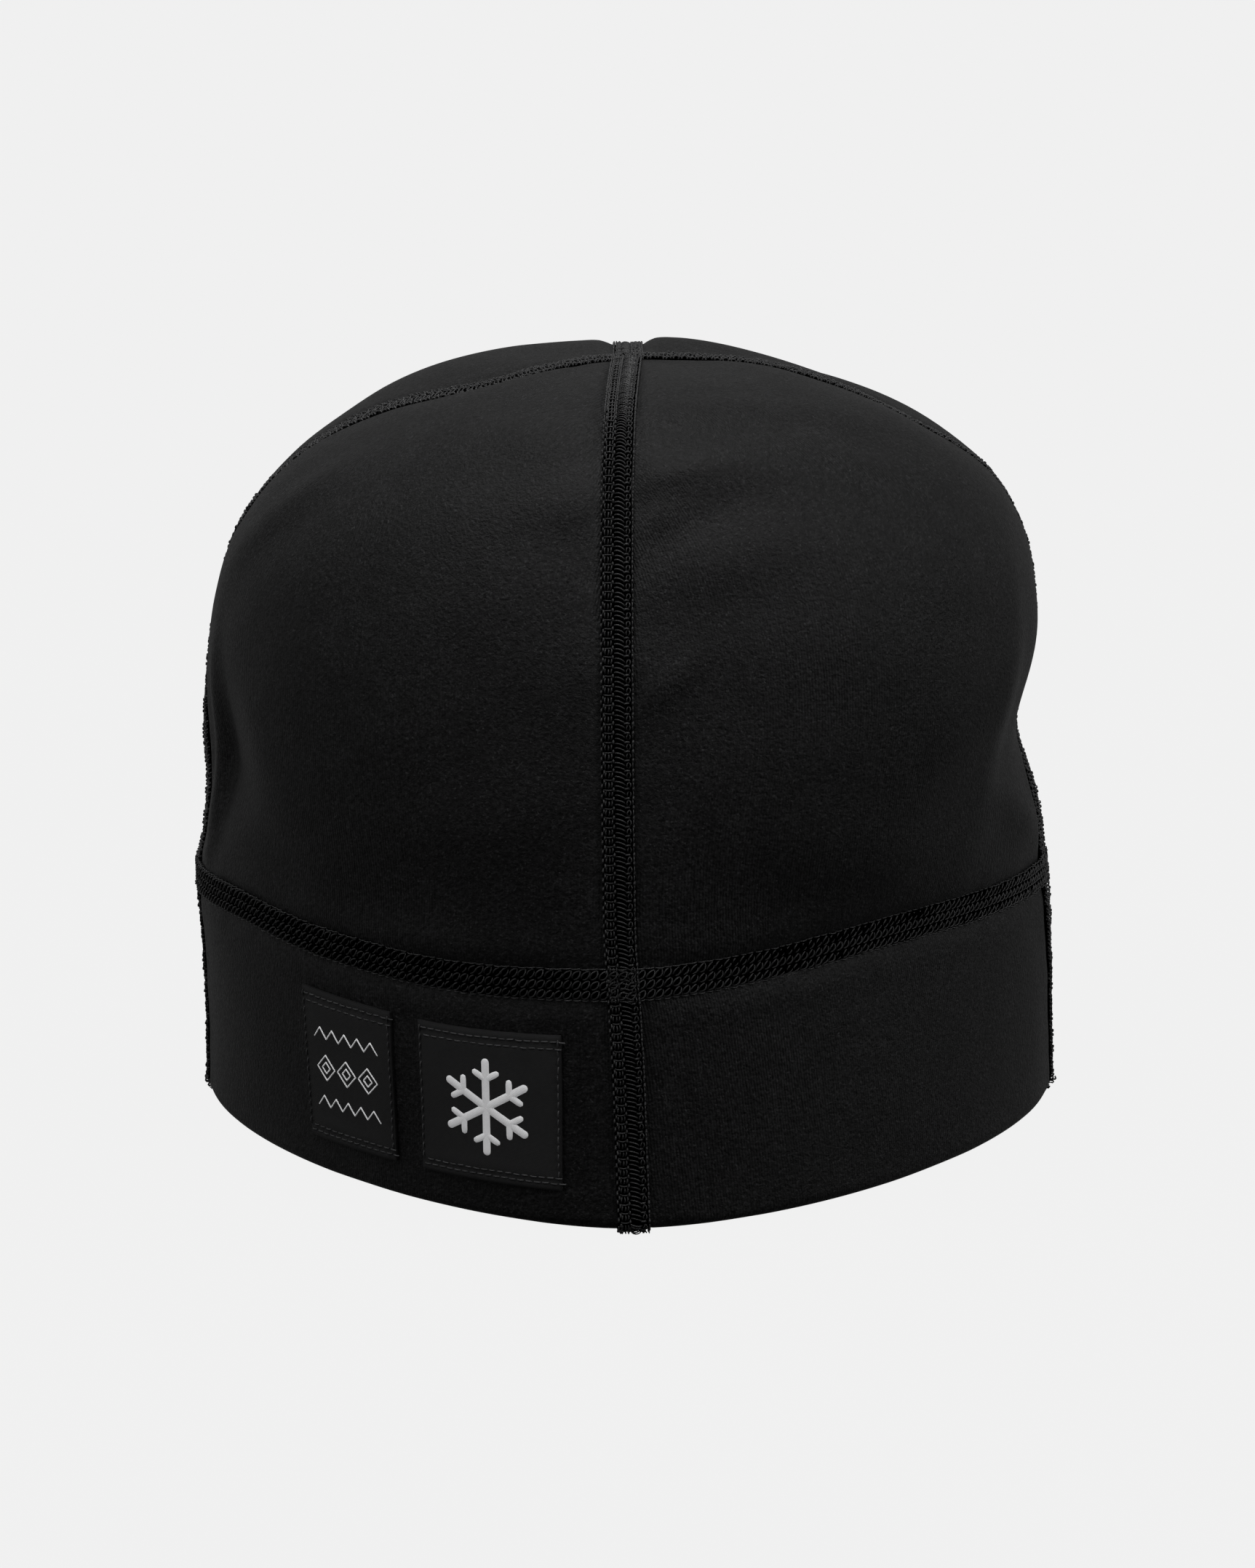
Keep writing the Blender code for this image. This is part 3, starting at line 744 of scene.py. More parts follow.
class Board:
    """Adds nodes to a tree, in rows, and joins them up."""

    def __init__(self, tree):
        self.tree = tree
        self.count = 0

    def add(self, kind, inputs=None, **settings):
        node = self.tree.nodes.new(kind)
        row, column = divmod(self.count, NODES_IN_ROW)
        node.location = (NODE_WIDTH * column, -NODE_HEIGHT * row)
        self.count += 1
        for key, value in settings.items():
            setattr(node, key, value)
        for key, value in (inputs or {}).items():
            socket = node.inputs[key] if isinstance(key, int) else open_socket(node.inputs, key)
            if isinstance(value, bpy.types.NodeSocket):
                self.tree.links.new(value, socket)
            else:
                socket.default_value = value
        return node

    def maths(self, operation, first, second=0.0, third=0.0):
        """Result of a Math node."""
        inputs = {0: first, 1: second, 2: third}
        return self.add("ShaderNodeMath", inputs, operation=operation).outputs[0]

    def noise(self, vector, scale, detail=2.0, roughness=0.5):
        """Grey noise on a vector."""
        inputs = {"Vector": vector, "Scale": scale, "Detail": detail, "Roughness": roughness}
        return self.add("ShaderNodeTexNoise", inputs).outputs[0]

    def between(self, value, low, high, to_low=0.0, to_high=1.0):
        """A value carried from one range to another, and kept in it."""
        names = ("Value", "From Min", "From Max", "To Min", "To Max")
        inputs = dict(zip(names, (value, low, high, to_low, to_high)))
        return self.add("ShaderNodeMapRange", inputs).outputs[0]

    def blend(self, share, first, second):
        """A colour between two colours."""
        inputs = {"Factor": share, "A": (*first, 1.0), "B": (*second, 1.0)}
        node = self.add("ShaderNodeMix", inputs, data_type="RGBA")
        return open_socket(node.outputs, "Result")

    def wave(self, value, length):
        """A sine wave of a length along a value."""
        return self.maths("SINE", self.maths("MULTIPLY", value, FULL_TURN / length))

    def mark(self, name):
        """A number that the mesh carries."""
        return self.add("ShaderNodeAttribute", attribute_name=name).outputs["Fac"]

    def place(self):
        """Place on the object, in metres."""
        return self.add("ShaderNodeTexCoord").outputs["Object"]

    def weave(self):
        """Metres across the cloth and up along it."""
        uv = self.add("ShaderNodeUVMap", uv_map="cloth").outputs[0]
        parts = self.add("ShaderNodeSeparateXYZ", {0: uv})
        return parts.outputs["X"], parts.outputs["Y"]

    def named(self, name, kind):
        """A named attribute of the geometry."""
        node = self.add("GeometryNodeInputNamedAttribute", {"Name": name}, data_type=kind)
        return open_socket(node.outputs, "Attribute")

    def store(self, geometry, name, value, kind, domain):
        """Geometry that carries one more named attribute."""
        inputs = {"Geometry": geometry, "Name": name, "Value": value}
        node = self.add(
            "GeometryNodeStoreNamedAttribute", inputs, data_type=kind, domain=domain
        )
        return node.outputs[0]

    def random(self, least, most, seed, kind):
        """A random value for each copy."""
        inputs = {"Min": least, "Max": most, "Seed": seed}
        node = self.add("FunctionNodeRandomValue", inputs, data_type=kind)
        return open_socket(node.outputs, "Value")


# Materials


def new_finish(name, colour):
    """An empty material, its board and its shader."""
    old = bpy.data.materials.get(name)
    if old is not None:
        bpy.data.materials.remove(old)
    made = bpy.data.materials.new(name)
    made.use_nodes = True
    made.diffuse_color = (*colour, 1.0)
    return made, Board(made.node_tree), made.node_tree.nodes["Principled BSDF"]


def dress(board, shader, colour, roughness, strength, depth, height):
    """Give a shader its colour and roughness, and bend its light by a bump."""
    inputs = {"Strength": strength, "Distance": depth, "Height": height}
    bump = board.add("ShaderNodeBump", inputs).outputs[0]
    for socket, value in (("Base Color", colour), ("Roughness", roughness), ("Normal", bump)):
        board.tree.links.new(value, shader.inputs[socket])


def ribbed_jersey(cloth):
    """Black jersey of the neoprene: fine ribs, fuzz and soft patches, with painted highlight on
    the rib crests, painted shade in their valleys, painted glints, and lighter edges that are
    partly wear and partly painted sheen.
    """
    made, board, shader = new_finish("ribbed_neoprene_jersey", cloth.lit_crest_colour)
    place = board.place()
    across, along = board.weave()
    phase = board.maths("MULTIPLY", across, FULL_TURN / cloth.rib_pitch)
    for scale, share in RIB_DRIFTS:
        phase = board.maths("MULTIPLY_ADD", board.noise(place, scale, 2.0), share, phase)
    rib = board.maths("MULTIPLY_ADD", board.maths("SINE", phase), 0.5, 0.5)
    rise = board.maths("MULTIPLY", along, FULL_TURN / (cloth.rib_pitch * LOOP_LENGTH))
    rise = board.maths("MULTIPLY_ADD", phase, 0.5, rise)
    loops = board.maths("MULTIPLY_ADD", board.maths("SINE", rise), 0.12, 0.88)
    patches = board.between(board.noise(place, 26.0, 3.0), 0.42, 0.62, 0.15, 0.90)
    ribs = board.maths("MULTIPLY", board.maths("MULTIPLY", rib, loops), patches)
    fuzz = board.noise(place, 1500.0, 3.0, 0.65)
    height = board.maths("MULTIPLY_ADD", fuzz, 3.6, ribs)
    speckle = board.between(board.noise(place, 1250.0, 2.0, 0.6), 0.38, 0.62, 0.02, 1.0)
    # Sparse bright flecks in the colour are painted glints
    glint_flecks = board.between(board.noise(place, 1900.0, 1.0), 0.64, 0.74, 0.0, 1.2)
    clouds = board.between(board.noise(place, 180.0, 3.0, 0.6), 0.35, 0.65, 0.55, 1.0)
    # The colour follows the height of the ribs and fuzz: painted highlight on the rib crests and
    # painted shade in their valleys, varied by random clouds and speckle
    light = board.maths("MULTIPLY", board.between(height, 0.9, 3.4), clouds)
    light = board.maths("MULTIPLY", light, speckle)
    # Lighter near the seams and the hem: partly wear and partly painted sheen
    light = board.maths("MULTIPLY_ADD", board.mark("wear"), 0.10, light)
    light = board.maths("ADD", light, glint_flecks)
    colour = board.blend(light, cloth.shaded_valley_colour, cloth.lit_crest_colour)
    roughness = board.between(fuzz, 0.3, 0.7, 0.46, 0.66)
    dress(board, shader, colour, roughness, cloth.rib_strength, cloth.rib_height, height)
    shader.inputs["Specular IOR Level"].default_value = cloth.gloss
    shader.inputs["Sheen Weight"].default_value = cloth.sheen
    shader.inputs["Sheen Roughness"].default_value = 0.45
    shader.inputs["Sheen Tint"].default_value = (0.62, 0.63, 0.66, 1.0)
    return made


def seam_bed_jersey(cloth):
    """Nearly black knit of the seam beds, under the threads."""
    made, board, shader = new_finish("seam_bed_jersey", cloth.shaded_valley_colour)
    place = board.place()
    inputs = {"Vector": place, "Scale": 1700.0, "Randomness": 0.7}
    knit = board.add("ShaderNodeTexVoronoi", inputs).outputs["Distance"]
    dust = board.noise(place, 420.0, 3.0)
    shade = board.maths("MULTIPLY", board.between(knit, 0.1, 0.6, 1.0, 0.1), dust)
    colour = board.blend(shade, (0.0001,) * 3, (0.0008,) * 3)
    roughness = board.between(dust, 0.3, 0.7, 0.62, 0.85)
    dress(board, shader, colour, roughness, 0.8, 0.2 * MM, knit)
    shader.inputs["Specular IOR Level"].default_value = 0.0
    return made


def sewing_thread(name, colour, gloss):
    """Twisted polyester thread, a little lighter on some stitches than on others."""
    made, board, shader = new_finish(name, colour)
    ply = board.maths("MULTIPLY", board.mark("thread_way"), FULL_TURN / (0.42 * MM))
    place = board.place()
    parts = board.add("ShaderNodeSeparateXYZ", {0: place})
    slope = board.maths("MULTIPLY", parts.outputs["Z"], FULL_TURN / (0.5 * MM))
    twist = board.maths("SINE", board.maths("ADD", ply, slope))
    fuzz = board.noise(place, 3800.0, 2.0)
    height = board.maths("MULTIPLY_ADD", twist, 0.5, fuzz)
    tone = board.between(fuzz, 0.3, 0.7, 0.6, 1.0)
    tone = board.maths("MULTIPLY", board.mark("thread_shade"), tone)
    tint = board.blend(tone, darker(colour, 0.35), colour)
    roughness = board.between(fuzz, 0.3, 0.7, 0.30, 0.46)
    dress(board, shader, tint, roughness, 0.5, 0.06 * MM, height)
    shader.inputs["Specular IOR Level"].default_value = gloss
    return made


def darker(colour, share):
    """A share of a colour."""
    return tuple(part * share for part in colour)


def woven_satin(labels):
    """Dark satin of the woven labels, with a fine twill that runs up to the right."""
    made, board, shader = new_finish("woven_label_satin", labels.satin_colour)
    place = board.place()
    across, along = board.weave()
    twill = board.wave(board.maths("SUBTRACT", along, across), 0.34 * MM)
    fibre = board.noise(place, 1900.0, 3.0, 0.6)
    height = board.maths("MULTIPLY_ADD", twill, 0.35, fibre)
    height = board.maths("MULTIPLY_ADD", board.wave(along, 0.2 * MM), 0.2, height)
    cloud = board.noise(place, 160.0, 3.0)
    light = board.between(height, 0.1, 1.0, 0.25, 0.85)
    light = board.maths("MULTIPLY", light, board.between(cloud, 0.3, 0.7, 0.85, 1.0))
    # The satin is darker towards the label's edges
    edge_factor = board.between(board.mark("wear"), 0.0, 1.0, 1.0, 0.35)
    light = board.maths("MULTIPLY", light, edge_factor)
    colour = board.blend(light, darker(labels.satin_colour, 0.35), labels.satin_colour)
    roughness = board.between(fibre, 0.3, 0.7, 0.38, 0.55)
    dress(board, shader, colour, roughness, 0.55, 0.06 * MM, height)
    shader.inputs["Specular IOR Level"].default_value = 0.03
    return made


def motif_thread(labels):
    """Pale satin thread of the label motifs, laid in close parallel stitches."""
    made, board, shader = new_finish("pale_motif_thread", labels.motif_colour)
    across, along = board.weave()
    lay = board.wave(board.maths("ADD", along, across), 0.3 * MM)
    fibre = board.noise(board.place(), 2600.0, 2.0)
    height = board.maths("MULTIPLY_ADD", lay, 0.5, fibre)
    tone = board.between(height, 0.0, 1.0)
    colour = board.blend(tone, darker(labels.motif_colour, 0.78), labels.motif_colour)
    roughness = board.between(fibre, 0.3, 0.7, 0.42, 0.6)
    dress(board, shader, colour, roughness, 0.4, 0.05 * MM, height)
    return made


def studio_card(stage):
    """Pale matt card, lit evenly from behind, with a faint grain."""
    made, board, shader = new_finish("pale_studio_card", (0.8, 0.8, 0.8))
    tone = board.between(board.noise(board.place(), 6.0, 3.0), 0.2, 0.8)
    grain = board.blend(tone, (0.002,) * 3, (0.004,) * 3)
    board.tree.links.new(grain, shader.inputs["Base Color"])
    shader.inputs["Roughness"].default_value = 0.95
    shader.inputs["Specular IOR Level"].default_value = 0.0
    shader.inputs["Emission Color"].default_value = (1.0, 1.0, 1.0, 1.0)
    shader.inputs["Emission Strength"].default_value = stage.card_glow
    return made


def thread_finish(name, colour, seams):
    """The thread of a name, made on its first use."""
    return bpy.data.materials.get(name) or sewing_thread(name, colour, seams.thread_gloss)


def bed_finish(cloth):
    """The cloth of the seam beds, made on its first use."""
    return bpy.data.materials.get("seam_bed_jersey") or seam_bed_jersey(cloth)


# Stitches along the sewing lines


def strand_curve(board, strand):
    """One strand of thread in shares, dipping into the cloth at both of its ends."""
    way = Vector((strand.x2 - strand.x1, strand.y2 - strand.y1, 0.0))
    start = Vector((strand.x1, strand.y1, STRAND_DIP))
    end = start + way
    bow = Vector((strand.bow_x, strand.bow_y, STRAND_RISE)) * STRAND_BOW
    inputs = {
        "Resolution": strand.steps,
        "Start": start,
        "Start Handle": start + way * STRAND_HANDLE + bow,
        "End Handle": end - way * STRAND_HANDLE + bow,
        "End": end,
    }
    return board.add("GeometryNodeCurvePrimitiveBezierSegment", inputs).outputs[0]


def lane_copies(board, given, number, lane, size, spots, facing):
    """One lane of thread, with a copy at every stitch that is turned and shaded at random."""
    strands = board.add("GeometryNodeJoinGeometry")
    for strand in lane.strands:
        board.tree.links.new(strand_curve(board, strand), strands.inputs[0])
    inputs = {"Geometry": strands.outputs[0], "Scale": size}
    sized = board.add("GeometryNodeTransform", inputs)
    way = board.add("GeometryNodeSplineParameter").outputs["Length"]
    marked = board.store(sized.outputs[0], "thread_way", way, "FLOAT", "POINT")
    radius = board.maths("MULTIPLY", given["Thread radius"], lane.thickness)
    inputs = {"Resolution": THREAD_SIDES, "Radius": radius}
    profile = board.add("GeometryNodeCurvePrimitiveCircle", inputs, mode="RADIUS")
    inputs = {"Curve": marked, "Profile Curve": profile.outputs[0], "Fill Caps": True}
    thread = board.add("GeometryNodeCurveToMesh", inputs)
    named = board.store(thread.outputs[0], "is_thread", True, "BOOLEAN", "FACE")
    seed = board.maths("ADD", given["Seed"], number * LANE_SEEDS)
    most = board.add("ShaderNodeCombineXYZ", {axis: given["Slack"] for axis in range(3)})
    inputs = {0: most.outputs[0], "Scale": -1.0}
    least = board.add("ShaderNodeVectorMath", inputs, operation="SCALE")
    sway = board.random(least.outputs[0], most.outputs[0], seed, "FLOAT_VECTOR")
    inputs = {"Rotation": facing, "Rotate By": sway}
    turned = board.add("FunctionNodeRotateRotation", inputs, rotation_space="LOCAL")
    inputs = {"Points": spots, "Instance": named, "Rotation": turned.outputs[0]}
    copies = board.add("GeometryNodeInstanceOnPoints", inputs)
    tone = board.random(DARKEST_STITCH, 1.0, board.maths("ADD", seed, 5.0), "FLOAT")
    return board.store(copies.outputs[0], "thread_shade", tone, "FLOAT", "INSTANCE")


def stitch_tree(name):
    """Geometry Nodes that sew lanes of thread along every sewing line of a mesh."""
    made = bpy.data.node_groups.get(name)
    if made is not None:
        return made
    tree = bpy.data.node_groups.new(name, "GeometryNodeTree")
    tree.interface.new_socket("Geometry", in_out="INPUT", socket_type="NodeSocketGeometry")
    for label, kind in STITCH_INPUTS:
        tree.interface.new_socket(label, in_out="INPUT", socket_type="NodeSocket" + kind)
    tree.interface.new_socket("Geometry", in_out="OUTPUT", socket_type="NodeSocketGeometry")
    board = Board(tree)
    given = board.add("NodeGroupInput").outputs
    inputs = {"Geometry": given["Geometry"], "Selection": board.named("sewing_line", "BOOLEAN")}
    split = board.add("GeometryNodeSeparateGeometry", inputs, domain="POINT")
    line = board.add("GeometryNodeMeshToCurve", {"Mesh": split.outputs["Selection"]})
    inputs = {"Curve": line.outputs[0], "Length": given["Stitch pitch"]}
    spots = board.add("GeometryNodeCurveToPoints", inputs, mode="LENGTH")
    facing = board.add(
        "FunctionNodeAxesToRotation",
        {0: board.named("lift", "FLOAT_VECTOR"), 1: spots.outputs["Tangent"]},
        primary_axis="Z",
        secondary_axis="Y",
    )
    inputs = {"X": given["Seam width"], "Y": given["Stitch pitch"], "Z": given["Thread rise"]}
    size = board.add("ShaderNodeCombineXYZ", inputs).outputs[0]
    laid = [split.outputs["Inverted"]]
    for number, lane in enumerate(STITCHES[name]):
        place = (spots.outputs["Points"], facing.outputs[0])
        laid.append(lane_copies(board, given, number, lane, size, *place))
    together = board.add("GeometryNodeJoinGeometry")
    for part in laid:
        tree.links.new(part, together.inputs[0])
    inputs = {
        "Geometry": board.add(
            "GeometryNodeRealizeInstances", {"Geometry": together.outputs[0]}
        ).outputs[0],
        "Selection": board.named("is_thread", "BOOLEAN"),
        "Material": given["Thread"],
    }
    finished = board.add("GeometryNodeSetMaterial", inputs)
    board.add("NodeGroupOutput", {"Geometry": finished.outputs[0]})
    return tree


def sew(mesh, stitch, values, slot, *nodes):
    """Run the stitches along a mesh's sewing lines, and keep the result as a plain mesh."""
    name = mesh.name
    tree = stitch_tree(stitch)
    piece = linked(name, mesh)
    stitches = piece.modifiers.new("Stitches", "NODES")
    stitches.node_group = tree
    for item in tree.interface.items_tree:
        if item.in_out == "INPUT" and item.name in values:
            stitches[item.identifier] = values[item.name]
    depsgraph = bpy.context.evaluated_depsgraph_get()
    plain = bpy.data.meshes.new_from_object(piece.evaluated_get(depsgraph), depsgraph=depsgraph)
    piece.modifiers.remove(stitches)
    piece.data = plain
    bpy.data.meshes.remove(mesh)
    plain.name = name
    if plain.attributes.get("is_thread") is None:
        raise RuntimeError("No stitches were sewn on " + name)
    return settle(piece, slot, *nodes)


def stitch_values(seams, pitch, number, **changed):
    """Values for the stitch tree's inputs, by their names with underscores for spaces."""
    values = {
        "Stitch_pitch": pitch,
        "Seam_width": seams.width,
        "Thread_radius": seams.radius,
        "Thread_rise": seams.rise,
        "Slack": seams.slack,
        "Seed": seams.seed + 100 * number,
        "Thread": thread_finish("black_seam_thread", seams.thread_colour, seams),
    }
    values.update(changed)
    return {key.replace("_", " "): value for key, value in values.items()}


def line_step(points, closed, pitch):
    """The stitch pitch nearest to the wanted one that fills a line evenly."""
    if closed:
        points = np.concatenate((points, points[:1]))
    length = float(path_length(points)[-1])
    return length / max(1, round(length / pitch)) * 0.9999


def evened(points, normals, step, closed=False):
    """A row of points, and its normals, laid again at even steps."""
    if closed:
        points = np.concatenate((points, points[:1]))
        normals = np.concatenate((normals, normals[:1]))
    gone = path_length(points)
    places = np.linspace(0.0, gone[-1], max(2, round(gone[-1] / step)) + 1)
    if closed:
        places = places[:-1]
    line = [np.interp(places, gone, points[:, axis]) for axis in range(3)]
    facing = [np.interp(places, gone, normals[:, axis]) for axis in range(3)]
    return np.stack(line, axis=1), unit(np.stack(facing, axis=1))


def bed_part(points, normals, width, low, high):
    """The bed of a seam: a soft low ridge of cloth along a row of points."""
    sideways = unit(np.cross(np.gradient(points, axis=0), normals)) * width / 2
    share = np.linspace(-1.0, 1.0, BED_COLUMNS + 1)
    flat = points[:, None] + share[:, None] * sideways[:, None]
    profile = low + (high - low) * ridge(share)
    base = flat + (low - BED_SKIRT) * normals[:, None]
    return wall_part(flat + profile[:, None] * normals[:, None], base)


# Settings that a user may change


def length_setting(name, description, default):
    """A length in metres."""
    return FloatProperty(
        name=name, description=description, default=default, subtype="DISTANCE", unit="LENGTH"
    )


def share_setting(name, description, default, most=1.0):
    """A share from 0 to the most."""
    return FloatProperty(
        name=name, description=description, default=default, min=0.0, max=most, subtype="FACTOR"
    )


def colour_setting(name, description, default):
    """A colour."""
    return FloatVectorProperty(
        name=name, description=description, default=default, min=0.0, max=1.0, subtype="COLOR"
    )


class BeanieCloth(bpy.types.PropertyGroup):
    rib_pitch: length_setting("Rib pitch", "Distance between two ribs of the jersey", 0.6 * MM)
    rib_height: length_setting("Rib height", "Height of the ribs in the bump", 0.16 * MM)
    rib_strength: share_setting("Rib strength", "How strongly the ribs bend the light", 0.60)
    wrinkle_height: length_setting(
        "Wrinkle height", "Height of the slow ripples of the cloth", 0.28 * MM
    )
    pucker_depth: length_setting(
        "Pucker depth", "Depth of the small puckers beside the seams", 0.12 * MM
    )
    seam_press: length_setting("Seam press", "How far a seam presses the cloth down", 0.30 * MM)
    seam_swell: length_setting(
        "Seam swell", "How far the cloth swells beside a seam", 0.22 * MM
    )
    sheen: share_setting("Sheen", "Soft light that the fuzz of the jersey scatters", 0.001)
    gloss: share_setting("Gloss", "Specular level of the jersey", 0.104)
    # The crest and valley colours paint highlight on the ribs' crests and shade in their valleys
    lit_crest_colour: colour_setting(
        "Crest colour", "Colour of the jersey on its ribs", (0.0132, 0.0132, 0.0136)
    )
    shaded_valley_colour: colour_setting(
        "Valley colour", "Colour of the jersey between its ribs", (0.0003, 0.0003, 0.0003)
    )


class BeanieSeams(bpy.types.PropertyGroup):
    pitch: length_setting("Stitch pitch", "Length of one stitch of the cover seams", 1.76 * MM)
    width: length_setting("Seam width", "Width of the stitched bed", 6.2 * MM)
    radius: length_setting("Thread radius", "Radius of the sewing thread", 0.15 * MM)
    rise: length_setting(
        "Thread rise", "How far the threads stand above their bed", 0.34 * MM
    )
    slack: FloatProperty(
        name="Slack", description="Random turn of each stitch",
        default=0.06, min=0.0, max=0.5, subtype="ANGLE", unit="ROTATION",
    )
    seed: IntProperty(
        name="Seed", description="Seed of the random turns and shades", default=7,
    )
    thread_gloss: share_setting("Thread gloss", "Specular level of the thread", 0.20)
    thread_colour: colour_setting(
        "Thread colour", "Colour of the sewing thread", (0.0190, 0.0190, 0.0195)
    )


class BeanieLabels(bpy.types.PropertyGroup):
    satin_colour: colour_setting(
        "Satin colour", "Colour of the labels' ground", (0.0235, 0.0235, 0.0238)
    )
    motif_colour: colour_setting(
        "Motif colour", "Colour of the labels' raised lines", (0.88, 0.88, 0.89)
    )
    edge_colour: colour_setting(
        "Edge colour", "Colour of the stitches round the labels", (0.034, 0.034, 0.035)
    )
    motif_rise: length_setting(
        "Motif rise", "Height of the raised lines above the label", 0.16 * MM
    )
    stitch_pitch: length_setting(
        "Label stitch pitch", "Length of one stitch round a label", 1.7 * MM
    )


class BeanieStage(bpy.types.PropertyGroup):
    distance: length_setting(
        "Camera distance", "Distance from the camera to the hat's axis", 0.7532
    )
    height: length_setting("Camera height", "Height of the camera above the floor", 0.2540)
    aim_height: length_setting(
        "Aim height", "Height on the hat's axis that the camera looks at", 0.0663
    )
    lens: FloatProperty(
        name="Lens", description="Focal length of the camera in millimetres",
        default=85.0, subtype="DISTANCE_CAMERA", unit="CAMERA",
    )
    light_share: share_setting("Light share", "Power of all soft lights together", 1.0, 4.0)
    card_glow: FloatProperty(
        name="Card glow", description="Brightness of the evenly lit pale card",
        default=0.870, min=0.0,
    )
    room_glow: FloatProperty(
        name="Room glow", description="Dim light of the room round the stage",
        default=0.330, min=0.0,
    )


# Soft square lights of the stage, with their power in watts
Light = namedtuple("Light", "name place power")
LIGHTS = (
    Light("light_top", (0.0, 0.0, 1.0), 6.20),
    Light("light_front_left", (-0.38, -0.38, 0.82), 3.50),
    Light("light_front_right", (0.62, -0.42, 0.66), 4.30),
    Light("light_front", (0.0, -0.80, 0.60), 0.50),
    Light("light_low_left", (-0.86, -0.40, 0.10), 0.85),
    Light("light_back_left", (-0.52, 0.52, 0.68), 0.40),
    Light("light_right", (0.94, 0.0, 0.36), 1.30),
)
LIGHT_AIM = (0.0, 0.0, 0.08)
LIGHT_SIZE = 0.45

# The room is brightest on this side, and its darkest part has this share of the light
ROOM_SIDE = (0.0, 0.6, 0.8)
ROOM_DARK = 0.2
ROOM_DARK_UP_TO = -0.6
ROOM_BRIGHT_FROM = 0.3

# The floor runs back from the front edge and bends up into the backdrop
SWEEP_FRONT = -0.55
SWEEP_BACK = 1.6
SWEEP_SIDE = 1.6
SWEEP_BEND = 1.0
SWEEP_RISES = (0.6, 1.2, 2.0)

# Quarters of the hat: the seams where they start and end, and the place of the grain line
QUARTERS = (
    ("front_left", LEFT, FRONT, 0.72),
    ("front_right", FRONT, RIGHT, 0.55),
    ("back_right", RIGHT, BACK, 0.5),
    ("back_left", BACK, LEFT, 0.5),
)


# Operators, one for each group of pieces


def grain_uv(points, grain):
    """Metres across the cloth from its grain line, and metres up along it. The ribs are
    lines of equal distance from the grain line, so they run out into a sloping seam. Then
    the distances of every point from the nearer side seam and from the ring seam."""
    steps = np.linalg.norm(np.diff(points, axis=1), axis=2)
    across = np.concatenate((np.zeros((len(points), 1)), np.cumsum(steps, axis=1)), axis=1)
    column = round(grain * (points.shape[1] - 1))
    up = path_length(points[:, column])
    width = across[:, -1:]
    way = up[:, None] + 0 * across
    uv = np.stack((across - grain * width, way), axis=-1)
    return uv, np.minimum(across, width - across), way


class BEANIE_OT_crown(bpy.types.Operator):
    """Make the four crown panels as fine ribbed cloth"""

    bl_idname = "beanie.crown"
    bl_label = "Crown Panels"

    def execute(self, context):
        cloth = context.scene.beanie_cloth
        finish = ribbed_jersey(cloth)
        levels = even_levels(FRONT, CROWN_EDGE, top_row_level(), CROWN_ROWS)
        for place, start, end, grain in QUARTERS:
            turns = panel_turns(start, end, levels)
            rows = levels[:, None] + 0 * turns
            base = outer_point(turns, rows)
            normals = outward(outer_point, turns, rows)
            uv, beside, way = grain_uv(base, grain)
            relief = cloth.wrinkle_height * slow_ripples(base) + soft_folds(base)
            relief = relief * np.clip(np.minimum(beside, way) / CALM_CROWN, 0.0, 1.0)
            relief = relief + seam_relief(beside, way, cloth)
            relief = relief + seam_relief(way, uv[..., 0], cloth)
            relief = relief * np.clip((TOP_LEVEL - rows) * 3, 0.0, 1.0)
            outer = base + relief[..., None] * normals
            inner = outer - CROWN_WALL * normals
            # Lighter beside the seams: partly wear and partly painted sheen
            wear = seam_wear_and_sheen(beside, way)
            cloth_piece("crown_" + place, outer, inner, uv, wear, finish)
        return {"FINISHED"}


class BEANIE_OT_band(bpy.types.Operator):
    """Make the folded band as fine ribbed cloth"""

    bl_idname = "beanie.band"
    bl_label = "Folded Band"

    def execute(self, context):
        cloth = context.scene.beanie_cloth
        finish = bpy.data.materials.get("ribbed_neoprene_jersey") or ribbed_jersey(cloth)
        outside = even_levels(FRONT, BAND_EDGE, FOLD_LEVEL, OUTER_LEAF_ROWS)
        inside = even_levels(FRONT, FOLD_LEVEL, BAND_EDGE, INNER_LEAF_ROWS)
        bend = np.linspace(0.0, math.pi, FOLD_ROWS + 1)[1:-1]
        levels = np.concatenate((outside, np.full(len(bend), FOLD_LEVEL), inside))
        angles = np.concatenate((0 * outside, bend, 0 * inside + math.pi))
        for place, start, end, grain in QUARTERS:
            turns = panel_turns(start, end, levels)
            rows = levels[:, None] + 0 * turns
            middle, around = fold_frame(turns, rows, angles[:, None] + 0 * turns)
            base = middle + FOLD_REACH * around
            uv, beside, way = grain_uv(base, grain)
            calm = np.clip(beside / CALM_BAND, 0, 1) * BAND_RIPPLES
            relief = cloth.wrinkle_height * slow_ripples(base) * calm
            relief = relief + seam_relief(beside, way, cloth)
            relief = relief + seam_relief(way, uv[..., 0], cloth)
            turned = angles[:, None] > OUTER_LEAF_ANGLE
            relief = np.where(turned, np.minimum(relief, 0.0), relief)
            reach = FOLD_REACH + relief
            outer = middle + reach[..., None] * around
            inner = middle + (reach - BAND_LEAF)[..., None] * around
            # Lighter beside the seams and round the hem's fold: partly wear and partly painted
            # sheen
            wear = np.maximum(seam_wear_and_sheen(beside, way), HEM_WEAR_AND_SHEEN * np.sin(angles)[:, None])
            cloth_piece("band_" + place, outer, inner, uv, wear, finish)
        return {"FINISHED"}


def crown_line(side, first, last):
    """Points and normals of a crown seam line between two levels."""
    levels = even_levels(side, first, last, CROWN_LINE_STEPS)
    turns = seam_turn(side, levels)
    return outer_point(turns, levels), outward(outer_point, turns, levels)


